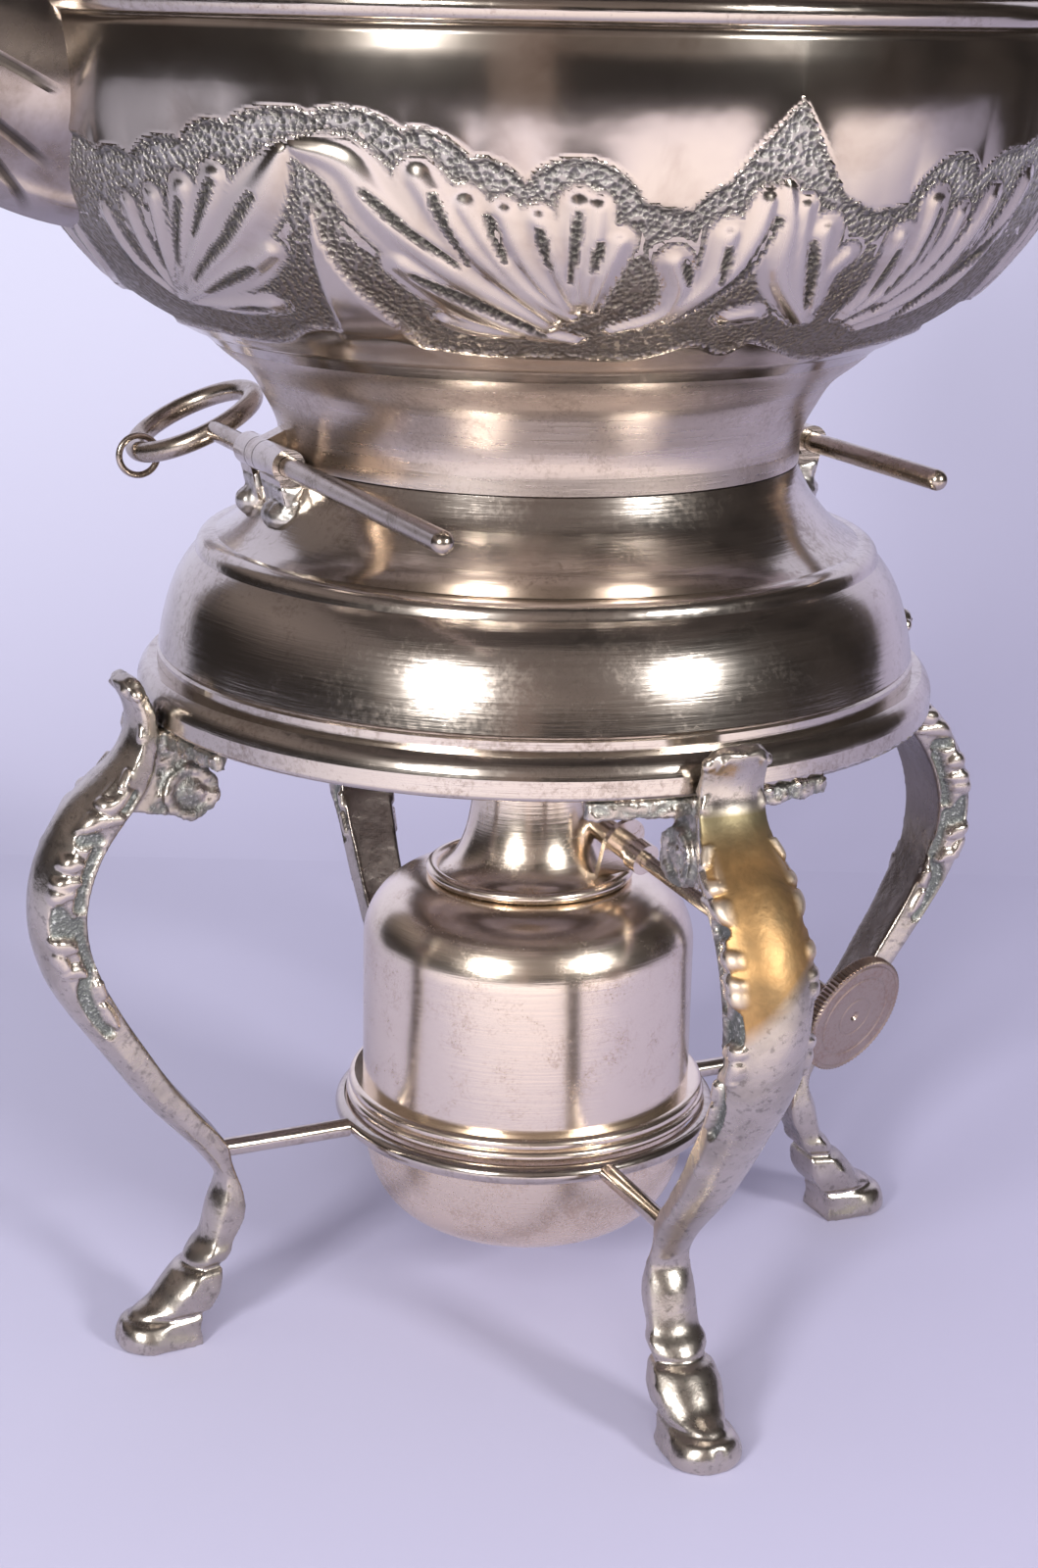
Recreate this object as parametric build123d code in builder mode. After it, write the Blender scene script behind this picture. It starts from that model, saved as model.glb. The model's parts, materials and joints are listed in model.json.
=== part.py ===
from build123d import *
from math import copysign, cos, degrees, hypot, radians, sin
import os

# Tilting spirit kettle on a four-legged stand, with its burner and wick winder.
# Millimetres, +Z up. The origin is on the floor at the stand's axis.
# The spout points along -X and both hinge pins lie along Y.

os.makedirs("parts", exist_ok=True)

# Sheet, wire and clearances
sheet = 1.2
thin_sheet = 0.9
rest_gap = 0.3
running_gap = 0.1
solder_film = 0.02

# Stand: rim band and dome
stand_height = 123.2
rim_radius = 75.2
rim_band_height = 7.4
rim_lip_height = 1.2
dome_radius = 71.4
dome_rise = 45.8
crease_radius = 60.2
crease_rise = 31.2
bead_radius = 64.0
bead_rise = 28.0
neck_radius = 48.3
neck_mouth_radius = 44.5
groove_depth = 0.5
groove_height = 0.8

# Legs
tongue_width = 12.4
tongue_rise = 9.8
knee_width = 16.0
shin_width = 12.6
ankle_width = 8.8
fetlock_width = 12.6
hoof_width = 12.8
leg_thickness = 9.4
side_edge = 0.14
inner_width = 0.86
knee_radius = 94.6
knee_drop = 31.0
shin_height = 68.5
ankle_radius = 63.3
ankle_height = 30.0
sole_radius = 78.0
sole_length = 14.0
volute_radius = 5.3
volute_width = 12.0
bracket_width = 9.0
volute_center_radius = 70.2
volute_drop = 11.6
wing_length = 22.0
wing_width = 2.6
wing_height = 3.2

# Cradle that carries the burner
cradle_height = 38.0
cradle_radius = 36.2
cradle_wire = 3.6

# Hinges between the stand and the kettle
hinge_offset = 51.9
hinge_rise = 46.8
knuckle_radius = 3.1
pin_radius = 1.9
knuckle_gap = 0.25
saddle_depth = 8.6
strap_height = 5.2
left_middle_start = 4.0
left_middle_length = 4.0
left_near_length = 11.0
left_far_length = 6.0
right_middle_start = -1.0
right_middle_length = 4.0
right_near_length = 11.0
right_far_length = 6.0
hook_slot_gap = 0.2
left_pin_tip = -79.0
left_pin_junction = 35.0
right_pin_tip = -57.0
right_pin_junction = 57.0
ring_radius = 12.5
ring_wire = 4.0
ring_tilt = 25.0
jump_ring_radius = 3.85
jump_ring_wire = 1.3

# Kettle body
kettle_lift = 0.3
foot_radius = 48.4
foot_band_height = 3.0
foot_height = 20.9
flange_radius = 60.7
bottom_rise = 14.9
bowl_radius = 95.4
seam_height = 249.0
girdle_height = 4.2
girdle_depth = 1.3
mouth_radius = 37.0
shoulder_height = 45.5
collar_height = 4.5
collar_wall = 1.8

# Spout
spout_root_drop = 11.0
spout_root_depth = 9.4
spout_root_width = 45.6
spout_projection = 55.6
spout_tip_lift = 6.0
spout_tip_width = 12.0
spout_hole_radius = 9.0

# Lid
lid_overhang = 2.5
lid_rise = 16.0
lid_skirt_depth = 5.0
lid_hinge_reach = 5.5
lid_knuckle_radius = 2.2
lid_pin_radius = 0.9
lid_knuckle_length = 5.0
finial_height = 29.0
finial_radius = 7.0

# Bail handle
bail_inset = 18.6
bail_pivot_drop = 4.5
bail_arm_radius = 2.6
bail_rod_height = 60.0
bail_bend_radius = 44.8
bail_eye_radius = 6.0
bail_eye_thickness = 4.4
rivet_radius = 2.0
rivet_head_radius = 3.6
rivet_head_height = 1.4
lug_thickness = 3.0
lug_height = 18.0
lug_splay = 2.0
grip_radius = 10.2
grip_end_radius = 7.6
insulator_length = 4.0
insulator_radius = 6.6

# Burner
burner_radius = 32.5
burner_wall_top = 73.0
shoulder_radius = 12.8
flange_height = 4.4
flange_outer_radius = 35.8
burner_bowl_radius = 33.0
burner_bowl_bottom = 14.5
burner_foot_radius = 15.0
plate_radius = 20.3
plate_bead_radius = 1.2
cone_base_radius = 18.0
cone_top_radius = 10.9
cone_height = 27.0
wick_radius = 5.5
wick_tube_wall = 0.8
wick_tube_top = 118.0
wick_tube_bottom = 62.0
wick_bottom = 20.0
wick_stand_up = 2.5

# Wick winder
winder_offset = 8.2
winder_bearing = -73.2
winder_fall = 15.4
winder_rise = 13.85
winder_length = 81.2
spindle_radius = 1.5
gland_radius = 2.6
gland_start = 9.0
gland_end = 25.0
bracket_reach = 17.6
bracket_thickness = 1.0
disc_radius = 11.3
disc_thickness = 2.4
spur_radius = 2.4
spur_teeth = 8
spur_length = 3.0

# Heights and places that follow from the sizes above
rim_base = stand_height
hinge_height = stand_height + hinge_rise
neck_top = stand_height + dome_rise
foot_base = neck_top + kettle_lift
flange_level = foot_base + foot_height
kettle_bottom = foot_base + bottom_rise
mouth_height = seam_height + shoulder_height
collar_top = mouth_height + collar_height
lid_base = collar_top + rest_gap
lid_hinge_height = lid_base + 0.7
lid_radius = mouth_radius + lid_overhang
lid_hinge_offset = mouth_radius + lid_hinge_reach
spout_root_center = seam_height - spout_root_drop
spout_root_reach = bowl_radius - spout_root_depth
spout_tip_reach = bowl_radius + spout_projection
spout_tip_height = mouth_height + spout_tip_lift
flange_base = cradle_height + cradle_wire / 2 + rest_gap
flange_top = flange_base + flange_height
reservoir_top = burner_wall_top + shoulder_radius
winder_height = reservoir_top + winder_rise
wick_tube_radius = wick_radius + rest_gap + wick_tube_wall
bail_reach = bowl_radius - bail_inset
bail_pivot_height = mouth_height - bail_pivot_drop
bail_shoulder_height = bail_pivot_height + bail_rod_height
bail_crown = bail_shoulder_height + bail_bend_radius
grip_half = bail_reach - bail_bend_radius - insulator_length


def between(start, end, shares):
    """Points at the given shares of the way from start to end, along each axis."""
    return [
        (start[0] + share_x * (end[0] - start[0]), start[1] + share_y * (end[1] - start[1]))
        for share_x, share_y in shares
    ]


def run_normals(points):
    """Unit normals to the left of a run of points. On the axis the normal is upright."""
    normals = []
    for index, point in enumerate(points):
        before = points[max(index - 1, 0)]
        after = points[min(index + 1, len(points) - 1)]
        step_x, step_y = after[0] - before[0], after[1] - before[1]
        size = hypot(step_x, step_y)
        if point[0] == 0:
            normals.append((0.0, copysign(1.0, step_x)))
        else:
            normals.append((-step_y / size, step_x / size))
    return normals


def draw_run(points):
    """Straight line through two points, or a smooth curve through more."""
    if len(points) == 2:
        Line(*points)
    else:
        Spline(*points)


def wall_section(runs, wall):
    """Section of a sheet wall: runs of points along its outer skin, with the wall to the left.
    Where two runs meet in a corner, the inner skin has its corner on the mitre."""
    inner = []
    for run in runs:
        normals = run_normals(run)
        inner.append([(x + wall * nx, y + wall * ny) for (x, y), (nx, ny) in zip(run, normals)])
    for index in range(len(runs) - 1):
        corner = runs[index][-1]
        leaving, arriving = run_normals(runs[index])[-1], run_normals(runs[index + 1])[0]
        reach = wall / (1 + leaving[0] * arriving[0] + leaving[1] * arriving[1])
        mitre = (
            corner[0] + reach * (leaving[0] + arriving[0]),
            corner[1] + reach * (leaving[1] + arriving[1]),
        )
        inner[index][-1] = mitre
        inner[index + 1][0] = mitre
    for run in runs:
        draw_run(run)
    Line(runs[-1][-1], inner[-1][-1])
    for run in reversed(inner):
        draw_run(list(reversed(run)))
    Line(inner[0][0], runs[0][0])


def solid_section(runs):
    """Section between the outer skin and the axis."""
    for run in runs:
        draw_run(run)
    first, last = runs[0][0], runs[-1][-1]
    corners = [last, (0, last[1]), (0, first[1]), first]
    Polyline(*[corner for index, corner in enumerate(corners) if index == 0 or corner != corners[index - 1]])


def save(piece, name):
    """Label a finished piece and write it as its own file."""
    piece.part.label = name
    export_step(piece.part, f"parts/{name}.step")


# Spun dome of the stand, from the skirt inside the rim band to the neck's turned-in seat
groove_base = stand_height + rim_band_height + 2.0
skirt_base = stand_height + rim_lip_height
shoulder_start = (dome_radius - groove_depth / 2, groove_base + groove_height + 0.2)
bead_start = (bead_radius, stand_height + bead_rise)
bead_swell = (bead_radius - 0.9, stand_height + bead_rise + 2.3)
crease = (crease_radius, stand_height + crease_rise)
neck_edge = (neck_radius, neck_top)
shoulder_shares = [(0.06, 0.15), (0.27, 0.49), (0.43, 0.66), (0.66, 0.83)]
neck_shares = [(0.36, 0.19), (0.60, 0.40), (0.78, 0.60), (0.91, 0.81)]
dome_runs = [
    [shoulder_start, *between(shoulder_start, bead_start, shoulder_shares), bead_start],
    [bead_start, bead_swell, crease],
    [crease, *between(crease, neck_edge, neck_shares), neck_edge],
]
groove_bottom = (dome_radius - groove_depth, groove_base + groove_height / 2)
skirt_runs = [
    [(dome_radius, skirt_base), (dome_radius, groove_base)],
    [(dome_radius, groove_base), groove_bottom],
    [groove_bottom, shoulder_start],
]
with BuildPart() as stand_dome:
    with BuildSketch(Plane.XZ):
        with BuildLine():
            wall_section([*skirt_runs, *dome_runs, [neck_edge, (neck_mouth_radius, neck_top)]], sheet)
        make_face()
    revolve(axis=Axis.Z)
save(stand_dome, "stand_dome")

# Solid under the dome's skin, which trims what is soldered to it
with BuildPart() as dome_core:
    with BuildSketch(Plane.XZ):
        with BuildLine():
            solid_section(dome_runs)
        make_face()
    revolve(axis=Axis.Z)

# Drawn rim band that the dome's skirt stands in
band_bore = dome_radius + solder_film
band_lip = dome_radius - 2 * sheet
with BuildPart() as rim_band:
    with BuildSketch(Plane.XZ):
        with BuildLine():
            Polyline(
                (rim_radius - 1.9, rim_base + rim_band_height),
                (band_bore, rim_base + rim_band_height),
                (band_bore, skirt_base),
                (band_lip, skirt_base),
                (band_lip, rim_base),
                (rim_radius - 1.0, rim_base),
            )
            ThreePointArc(
                (rim_radius - 1.0, rim_base),
                (rim_radius - 0.3, rim_base + 0.4),
                (rim_radius, rim_base + 1.2),
            )
            Line((rim_radius, rim_base + 1.2), (rim_radius, rim_base + 3.8))
            ThreePointArc(
                (rim_radius, rim_base + 3.8),
                (rim_radius - 0.7, rim_base + 6.0),
                (rim_radius - 1.9, rim_base + rim_band_height),
            )
        make_face()
    revolve(axis=Axis.Z)
save(rim_band, "rim_band")

# Cabriole leg in the XZ plane, as stations down its middle: radius, height, width, thickness.
# The upper stations hang from the rim and the lower ones stand on the floor.
knee_reach = knee_radius - rim_radius
shank_reach = knee_radius - ankle_radius
foot_reach = sole_radius - ankle_radius
tongue_top = rim_base + tongue_rise
knee_spans = [
    (0.330, -tongue_rise / knee_drop, 0.55 * tongue_width, 0.30),
    (0.273, -0.8 * tongue_rise / knee_drop, 0.93 * tongue_width, 0.38),
    (0.180, -0.135, tongue_width, 0.42),
    (0.165, 0.019, 1.02 * tongue_width, 0.48),
    (0.237, 0.174, 1.10 * tongue_width, 0.62),
    (0.423, 0.335, 0.97 * knee_width, 0.80),
    (0.691, 0.516, knee_width, 0.93),
    (0.887, 0.723, knee_width, 0.98),
    (1.010, 1.000, 0.98 * knee_width, 1.00),
    (0.964, 1.329, 0.91 * knee_width, 0.96),
]
shank_spans = [
    (0.770, 1.000, shin_width, 0.80),
    (0.617, 0.891, 0.94 * shin_width, 0.72),
    (0.387, 0.737, 0.86 * shin_width, 0.64),
    (0.109, 0.584, 1.02 * ankle_width, 0.57),
]
foot_spans = [
    (0.000, 1.000, ankle_width, 0.54),
    (0.170, 0.683, 1.12 * ankle_width, 0.58),
    (0.313, 0.540, 0.88 * fetlock_width, 0.66),
    (0.476, 0.407, fetlock_width, 0.92),
    (0.673, 0.267, 0.97 * fetlock_width, 0.98),
    (0.823, 0.147, 0.95 * hoof_width, 0.90 * sole_length / leg_thickness),
    (1.000, 0.000, hoof_width, sole_length / leg_thickness),
]


def span_stations(spans, start, reach, base, rise):
    """Stations from shares of a span's reach outwards, of its height and of the leg's thickness."""
    return [
        (start + out * reach, base + up * rise, width, share * leg_thickness)
        for out, up, width, share in spans
    ]


leg_stations = [
    *span_stations(knee_spans, rim_radius, knee_reach, rim_base, -knee_drop),
    *span_stations(shank_spans, ankle_radius, shank_reach, 0, shin_height),
    *span_stations(foot_spans, ankle_radius, foot_reach, 0, ankle_height),
]


def station_plane(index):
    """Plane across the leg at a station: x along the width, y outwards. The last one is level."""
    radius, height = leg_stations[index][:2]
    before = leg_stations[max(index - 1, 0)]
    after = leg_stations[min(index + 1, len(leg_stations) - 1)]
    along = Vector(after[0] - before[0], 0, after[1] - before[1])
    if index == len(leg_stations) - 1:
        along = Vector(0, 0, -1)
    return Plane(origin=(radius, 0, height), x_dir=(0, 1, 0), z_dir=along)


with BuildPart() as leg_casting:
    for index, (radius, height, width, thickness) in enumerate(leg_stations):
        half, inside, side = width / 2, -thickness / 2, side_edge * thickness
        with BuildSketch(station_plane(index)):
            with BuildLine():
                ThreePointArc((-half, side), (0, thickness / 2), (half, side))
                Line((half, side), (inner_width * half, inside))
                Line((inner_width * half, inside), (-inner_width * half, inside))
                Line((-inner_width * half, inside), (-half, side))
            make_face()
    loft()
    split(bisect_by=Plane.XY, keep=Keep.TOP)
    # Scroll bracket under the rim, from the leg's inner face to the volute
    volute_radial = volute_center_radius
    volute_height = rim_base - volute_drop
    with BuildSketch(Plane.XZ):
        with BuildLine():
            Polyline(
                (volute_radial - 3.4, volute_height + volute_radius - 1.0),
                (volute_radial - 0.6, rim_base),
                (rim_radius + 0.14 * knee_reach, rim_base),
                (rim_radius + 0.44 * knee_reach, rim_base - 0.32 * knee_drop),
                (rim_radius + 0.43 * knee_reach, rim_base - 0.46 * knee_drop),
                (volute_radial + 1.6, volute_height - volute_radius + 0.4),
                (volute_radial - 3.4, volute_height + volute_radius - 1.0),
            )
        make_face()
    extrude(amount=bracket_width / 2, both=True)
    with BuildSketch(Plane.XZ):
        with Locations((volute_radial, volute_height)):
            Circle(volute_radius)
    extrude(amount=volute_width / 2, both=True)
    # Wing strip that spreads the joint along the rim band's underside
    wing_middle = rim_radius - 0.4 - wing_width / 2
    wing_angle = degrees(wing_length / wing_middle)
    with BuildSketch(Plane.XY.offset(rim_base)):
        SlotArc(CenterArc((0, 0), wing_middle, -wing_angle, 2 * wing_angle, mode=Mode.PRIVATE), wing_width)
    extrude(amount=-wing_height)

leg_turns = {"leg_right": 0, "leg_back": 90, "leg_left": 180, "leg_front": 270}
for name, turn in leg_turns.items():
    with BuildPart() as leg:
        add(leg_casting.part, rotation=(0, 0, turn))
    save(leg, name)

# Cradle ring on four struts that end at the legs' inner faces
with BuildPart() as cradle_ring:
    with BuildSketch(Plane.XZ):
        with Locations((cradle_radius, cradle_height)):
            Circle(cradle_wire / 2)
    revolve(axis=Axis.Z)
save(cradle_ring, "cradle_ring")

strut_start = cradle_radius + cradle_wire / 2
strut_end = ankle_radius + 1.5
with BuildPart() as strut_bar:
    with BuildSketch(Plane.YZ.offset(strut_start)):
        with Locations((0, cradle_height)):
            Circle(cradle_wire / 2)
    extrude(amount=strut_end - strut_start)
    add(leg_casting.part, mode=Mode.SUBTRACT)
for name, turn in leg_turns.items():
    with BuildPart() as strut:
        add(strut_bar.part, rotation=(0, 0, turn))
    save(strut, name.replace("leg", "strut"))

# Hinge knuckles. Each runs along Y from its start, on the pin's axis.
pin_bore = pin_radius + running_gap


def knuckle_plane(start):
    """Vertical plane square to the pins, with x to the right, whose face looks along -Y."""
    return Plane(origin=(0, start, 0), x_dir=(1, 0, 0), z_dir=(0, -1, 0))


def stand_knuckle(side, start, length):
    """Knuckle and the saddle under it, on the dome's neck. side is -1 left and 1 right."""
    with BuildPart() as knuckle:
        with BuildSketch(knuckle_plane(start + length)):
            with Locations((side * hinge_offset, hinge_height)):
                Circle(knuckle_radius)
            with BuildLine():
                Polyline(
                    (side * (hinge_offset + 0.58 * knuckle_radius), hinge_height - 0.78 * knuckle_radius),
                    (side * (hinge_offset + 0.1 * knuckle_radius), hinge_height - saddle_depth),
                    (side * (neck_radius - 3.0), hinge_height - saddle_depth),
                    (side * (neck_radius - 3.0), hinge_height - 0.7 * knuckle_radius),
                    (side * (hinge_offset - 0.7 * knuckle_radius), hinge_height - 0.7 * knuckle_radius),
                    (side * (hinge_offset + 0.58 * knuckle_radius), hinge_height - 0.78 * knuckle_radius),
                )
            make_face()
            with Locations((side * hinge_offset, hinge_height)):
                Circle(pin_bore, mode=Mode.SUBTRACT)
        extrude(amount=length)
        add(dome_core.part, mode=Mode.SUBTRACT)
    return knuckle


left_far_start = left_middle_start + left_middle_length + knuckle_gap
left_near_start = left_middle_start - knuckle_gap - left_near_length
right_far_start = right_middle_start + right_middle_length + knuckle_gap
right_near_start = right_middle_start - knuckle_gap - right_near_length
save(stand_knuckle(-1, left_near_start, left_near_length), "stand_knuckle_left_near")
save(stand_knuckle(-1, left_far_start, left_far_length), "stand_knuckle_left_far")
save(stand_knuckle(1, right_near_start, right_near_length), "stand_knuckle_right_near")
save(stand_knuckle(1, right_far_start, right_far_length), "stand_knuckle_right_far")

# Kettle foot: a spun ring from the seat on the stand to the flange under the bowl
foot_shares = [(0.04, 0.17), (0.15, 0.34), (0.28, 0.50), (0.44, 0.67), (0.73, 0.84)]
band_top = (foot_radius, foot_base + foot_band_height)
flange_edge = (flange_radius, flange_level)
land_radius = flange_radius - 2.6
foot_runs = [
    [(foot_radius, foot_base), band_top],
    [band_top, *between(band_top, flange_edge, foot_shares), flange_edge],
]
with BuildPart() as kettle_foot:
    with BuildSketch(Plane.XZ):
        with BuildLine():
            wall_section(foot_runs, sheet)
        make_face()
    revolve(axis=Axis.Z)
    split(bisect_by=Plane.XY.offset(flange_level), keep=Keep.BOTTOM)
save(kettle_foot, "kettle_foot")

with BuildPart() as foot_core:
    with BuildSketch(Plane.XZ):
        with BuildLine():
            solid_section(foot_runs)
        make_face()
    revolve(axis=Axis.Z)

# Kettle knuckles, each on a strap up the foot: a closed one left and a hook open below, right


def kettle_knuckle(side, start, length, hooked):
    """Knuckle and strap on the kettle's foot. A hooked one lifts straight off its pin."""
    with BuildPart() as knuckle:
        with BuildSketch(knuckle_plane(start + length)):
            with Locations((side * hinge_offset, hinge_height)):
                Circle(knuckle_radius)
            with BuildLine():
                Polyline(
                    (side * (hinge_offset + 0.3 * knuckle_radius), hinge_height + 0.9 * knuckle_radius),
                    (side * (foot_radius - 1.0), hinge_height + strap_height),
                    (side * (foot_radius - 1.0), hinge_height + 0.2 * knuckle_radius),
                    (side * (hinge_offset - 0.8 * knuckle_radius), hinge_height + 0.2 * knuckle_radius),
                    (side * (hinge_offset + 0.3 * knuckle_radius), hinge_height + 0.9 * knuckle_radius),
                )
            make_face()
            with Locations((side * hinge_offset, hinge_height)):
                Circle(pin_bore, mode=Mode.SUBTRACT)
            if hooked:
                with Locations((side * hinge_offset, hinge_height - knuckle_radius)):
                    Rectangle(2 * (pin_radius + hook_slot_gap), 2 * knuckle_radius, mode=Mode.SUBTRACT)
        extrude(amount=length)
        add(foot_core.part, mode=Mode.SUBTRACT)
    return knuckle


save(kettle_knuckle(-1, left_middle_start, left_middle_length, False), "kettle_knuckle_left")
save(kettle_knuckle(1, right_middle_start, right_middle_length, True), "kettle_hook_right")

# Hinge pins, each drawn straight with a rounded tip and brazed to its ring handle


def hinge_pin(side, tip, junction):
    """Pin from its tip to the near side of its ring, whose plane tilts about the pin."""
    tilt = radians(ring_tilt)
    ring_plane = Plane(
        origin=(side * hinge_offset, junction + ring_radius, hinge_height),
        x_dir=(0, 1, 0),
        z_dir=(-sin(tilt), 0, cos(tilt)),
    )
    with BuildPart() as pin:
        with BuildSketch(Plane.XZ.offset(-tip - pin_radius)):
            with Locations((side * hinge_offset, hinge_height)):
                Circle(pin_radius)
        extrude(amount=-(junction - tip - pin_radius))
        with Locations((side * hinge_offset, tip + pin_radius, hinge_height)):
            Sphere(pin_radius)
        with Locations(ring_plane):
            Torus(ring_radius, ring_wire / 2)
    return pin


save(hinge_pin(-1, left_pin_tip, left_pin_junction), "hinge_pin_left")
save(hinge_pin(1, right_pin_tip, right_pin_junction), "hinge_pin_right")

# Jump ring that hangs on the outer, lower side of the left ring handle
wire_x = -hinge_offset - ring_radius * cos(radians(ring_tilt))
wire_height = hinge_height - ring_radius * sin(radians(ring_tilt))
hang = jump_ring_radius - jump_ring_wire / 2 - ring_wire / 2 - rest_gap
with BuildPart() as jump_ring:
    with Locations(Plane(origin=(wire_x, left_pin_junction + ring_radius, wire_height - hang), z_dir=(0, 1, 0))):
        Torus(jump_ring_radius, jump_ring_wire / 2)
save(jump_ring, "jump_ring")

# Kettle bowl, its shoulder and the belt over their seam
bowl_side = (bowl_radius, seam_height - girdle_height / 2 - 3.7)
bowl_shares = [
    (0.115, 0.057), (0.265, 0.113), (0.51, 0.226), (0.67, 0.34), (0.80, 0.453), (0.91, 0.62), (0.977, 0.81),
]
shoulder_side = (bowl_radius, seam_height + girdle_height / 2 + 0.1)
land_edge = (mouth_radius + 2.6, mouth_height)
dome_shares = [(0.03, 0.18), (0.13, 0.39), (0.28, 0.573), (0.455, 0.734), (0.67, 0.87), (0.90, 0.965)]
bottom_shares = [(0.50, 0.10), (0.84, 0.46)]
land_start = (land_radius, flange_level)
center = (0, kettle_bottom)
bowl_runs = [
    [center, *between(center, land_start, bottom_shares), land_start],
    [land_start, flange_edge],
    [flange_edge, *between(flange_edge, bowl_side, bowl_shares), bowl_side],
    [bowl_side, (bowl_radius, seam_height)],
]
top_runs = [
    [(bowl_radius, seam_height), shoulder_side],
    [shoulder_side, *between(shoulder_side, land_edge, dome_shares), land_edge],
    [land_edge, (mouth_radius, mouth_height)],
]
with BuildPart() as body_core:
    with BuildSketch(Plane.XZ):
        with BuildLine():
            solid_section([*bowl_runs, *top_runs])
        make_face()
    revolve(axis=Axis.Z)

with BuildPart() as kettle_bowl:
    with BuildSketch(Plane.XZ):
        with BuildLine():
            wall_section(bowl_runs, sheet)
        make_face()
    revolve(axis=Axis.Z)
    # Way through to the spout
    with BuildSketch(Plane.YZ.offset(-bowl_radius - 10)):
        with Locations((0, spout_root_center)):
            Circle(spout_hole_radius)
    extrude(amount=30, mode=Mode.SUBTRACT)
save(kettle_bowl, "kettle_bowl")

with BuildPart() as kettle_shoulder:
    with BuildSketch(Plane.XZ):
        with BuildLine():
            wall_section(top_runs, sheet)
        make_face()
    revolve(axis=Axis.Z)
save(kettle_shoulder, "kettle_shoulder")

# Spout: sections from its teardrop root to the lip. Each has its shares of the way from root to
# tip, outwards and upwards, its width, its rise above and fall below the middle as shares of the
# width, and how far it leans outwards from upright.
spout_sections = [
    (0.0, 0.0, spout_root_width, 0.46, 0.59, 90.0),
    (0.31, 0.08, 0.75 * spout_root_width, 0.53, 0.56, 55.0),
    (0.55, 0.30, 0.53 * spout_root_width, 0.52, 0.52, 38.5),
    (0.72, 0.57, 0.40 * spout_root_width, 0.50, 0.50, 27.0),
    (0.85, 0.83, 1.16 * spout_tip_width, 0.55, 0.55, 33.0),
    (1.0, 1.0, spout_tip_width, 0.55, 0.55, 58.0),
]


def spout_loft(inset):
    """Loft through the spout's sections, each drawn smaller by the inset."""
    with BuildPart() as horn:
        for outwards, upwards, width, rise, fall, lean in spout_sections:
            reach = spout_root_reach + outwards * (spout_tip_reach - spout_root_reach)
            height = spout_root_center + upwards * (spout_tip_height - spout_root_center)
            across = Plane(
                origin=(-reach, 0, height),
                x_dir=(0, -1, 0),
                z_dir=(-sin(radians(lean)), 0, cos(radians(lean))),
            )
            half, top, bottom = width / 2 - inset, rise * width - inset, inset - fall * width
            with BuildSketch(across):
                with BuildLine():
                    Spline(
                        (0, top),
                        (0.74 * half, 0.72 * top),
                        (half, 0.12 * top),
                        (0.80 * half, 0.40 * bottom),
                        (0.40 * half, 0.78 * bottom),
                        (0, bottom),
                        tangents=[(1, 0), (-1, -0.35)],
                    )
                    Spline(
                        (0, bottom),
                        (-0.40 * half, 0.78 * bottom),
                        (-0.80 * half, 0.40 * bottom),
                        (-half, 0.12 * top),
                        (-0.74 * half, 0.72 * top),
                        (0, top),
                        tangents=[(-1, 0.35), (1, 0)],
                    )
                make_face()
        loft()
    return horn


spout_outer = spout_loft(0)
spout_inner = spout_loft(sheet)
with BuildPart() as spout:
    add(spout_outer.part)
    add(spout_inner.part, mode=Mode.SUBTRACT)
    add(body_core.part, mode=Mode.SUBTRACT)
save(spout, "spout")

with BuildPart() as girdle_band:
    with BuildSketch(Plane.XZ):
        with BuildLine():
            band_foot = (bowl_radius + solder_film, seam_height - girdle_height / 2)
            band_head = (bowl_radius + solder_film, seam_height + girdle_height / 2)
            ThreePointArc(band_foot, (bowl_radius + girdle_depth, seam_height), band_head)
            Line(band_head, band_foot)
        make_face()
    revolve(axis=Axis.Z)
    add(spout_outer.part, mode=Mode.SUBTRACT)
save(girdle_band, "girdle_band")

# Mouth collar with the fixed half of the lid's hinge
lid_hinge_half = 1.5 * lid_knuckle_length + rest_gap
collar_outer = mouth_radius - 0.8 + collar_wall
with BuildPart() as mouth_collar:
    with BuildSketch(Plane.XZ):
        with BuildLine():
            Polyline(
                (collar_outer - collar_wall, collar_top),
                (collar_outer - collar_wall, mouth_height),
                (collar_outer, mouth_height),
                (collar_outer, collar_top - 1.6),
            )
            ThreePointArc(
                (collar_outer, collar_top - 1.6),
                (collar_outer + 0.5, collar_top - 0.8),
                (collar_outer, collar_top),
            )
            Line((collar_outer, collar_top), (collar_outer - collar_wall, collar_top))
        make_face()
    revolve(axis=Axis.Z)
    with BuildSketch(Plane.XZ):
        with BuildLine():
            Polyline(
                (collar_outer - 0.9, mouth_height + 0.6),
                (lid_hinge_offset + 1.0, mouth_height + 1.6),
                (lid_hinge_offset + 1.6, lid_hinge_height - 1.0),
                (lid_hinge_offset - 1.6, lid_hinge_height - 1.0),
                (collar_outer - 0.9, collar_top - 2.0),
                (collar_outer - 0.9, mouth_height + 0.6),
            )
        make_face()
        with Locations((lid_hinge_offset, lid_hinge_height)):
            Circle(lid_knuckle_radius)
    extrude(amount=lid_hinge_half, both=True)
    lid_gap = lid_knuckle_length + 2 * knuckle_gap
    with Locations((lid_hinge_offset, 0, lid_hinge_height)):
        Box(2 * lid_knuckle_radius + 1.6, lid_gap, 2 * lid_knuckle_radius + 1.2, mode=Mode.SUBTRACT)
        Cylinder(lid_pin_radius, 3 * lid_hinge_half, rotation=(90, 0, 0), mode=Mode.SUBTRACT)
save(mouth_collar, "mouth_collar")

with BuildPart() as lid_hinge_pin:
    with Locations((lid_hinge_offset, 0, lid_hinge_height)):
        Cylinder(lid_pin_radius, 2 * lid_hinge_half, rotation=(90, 0, 0))
save(lid_hinge_pin, "lid_hinge_pin")

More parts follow.
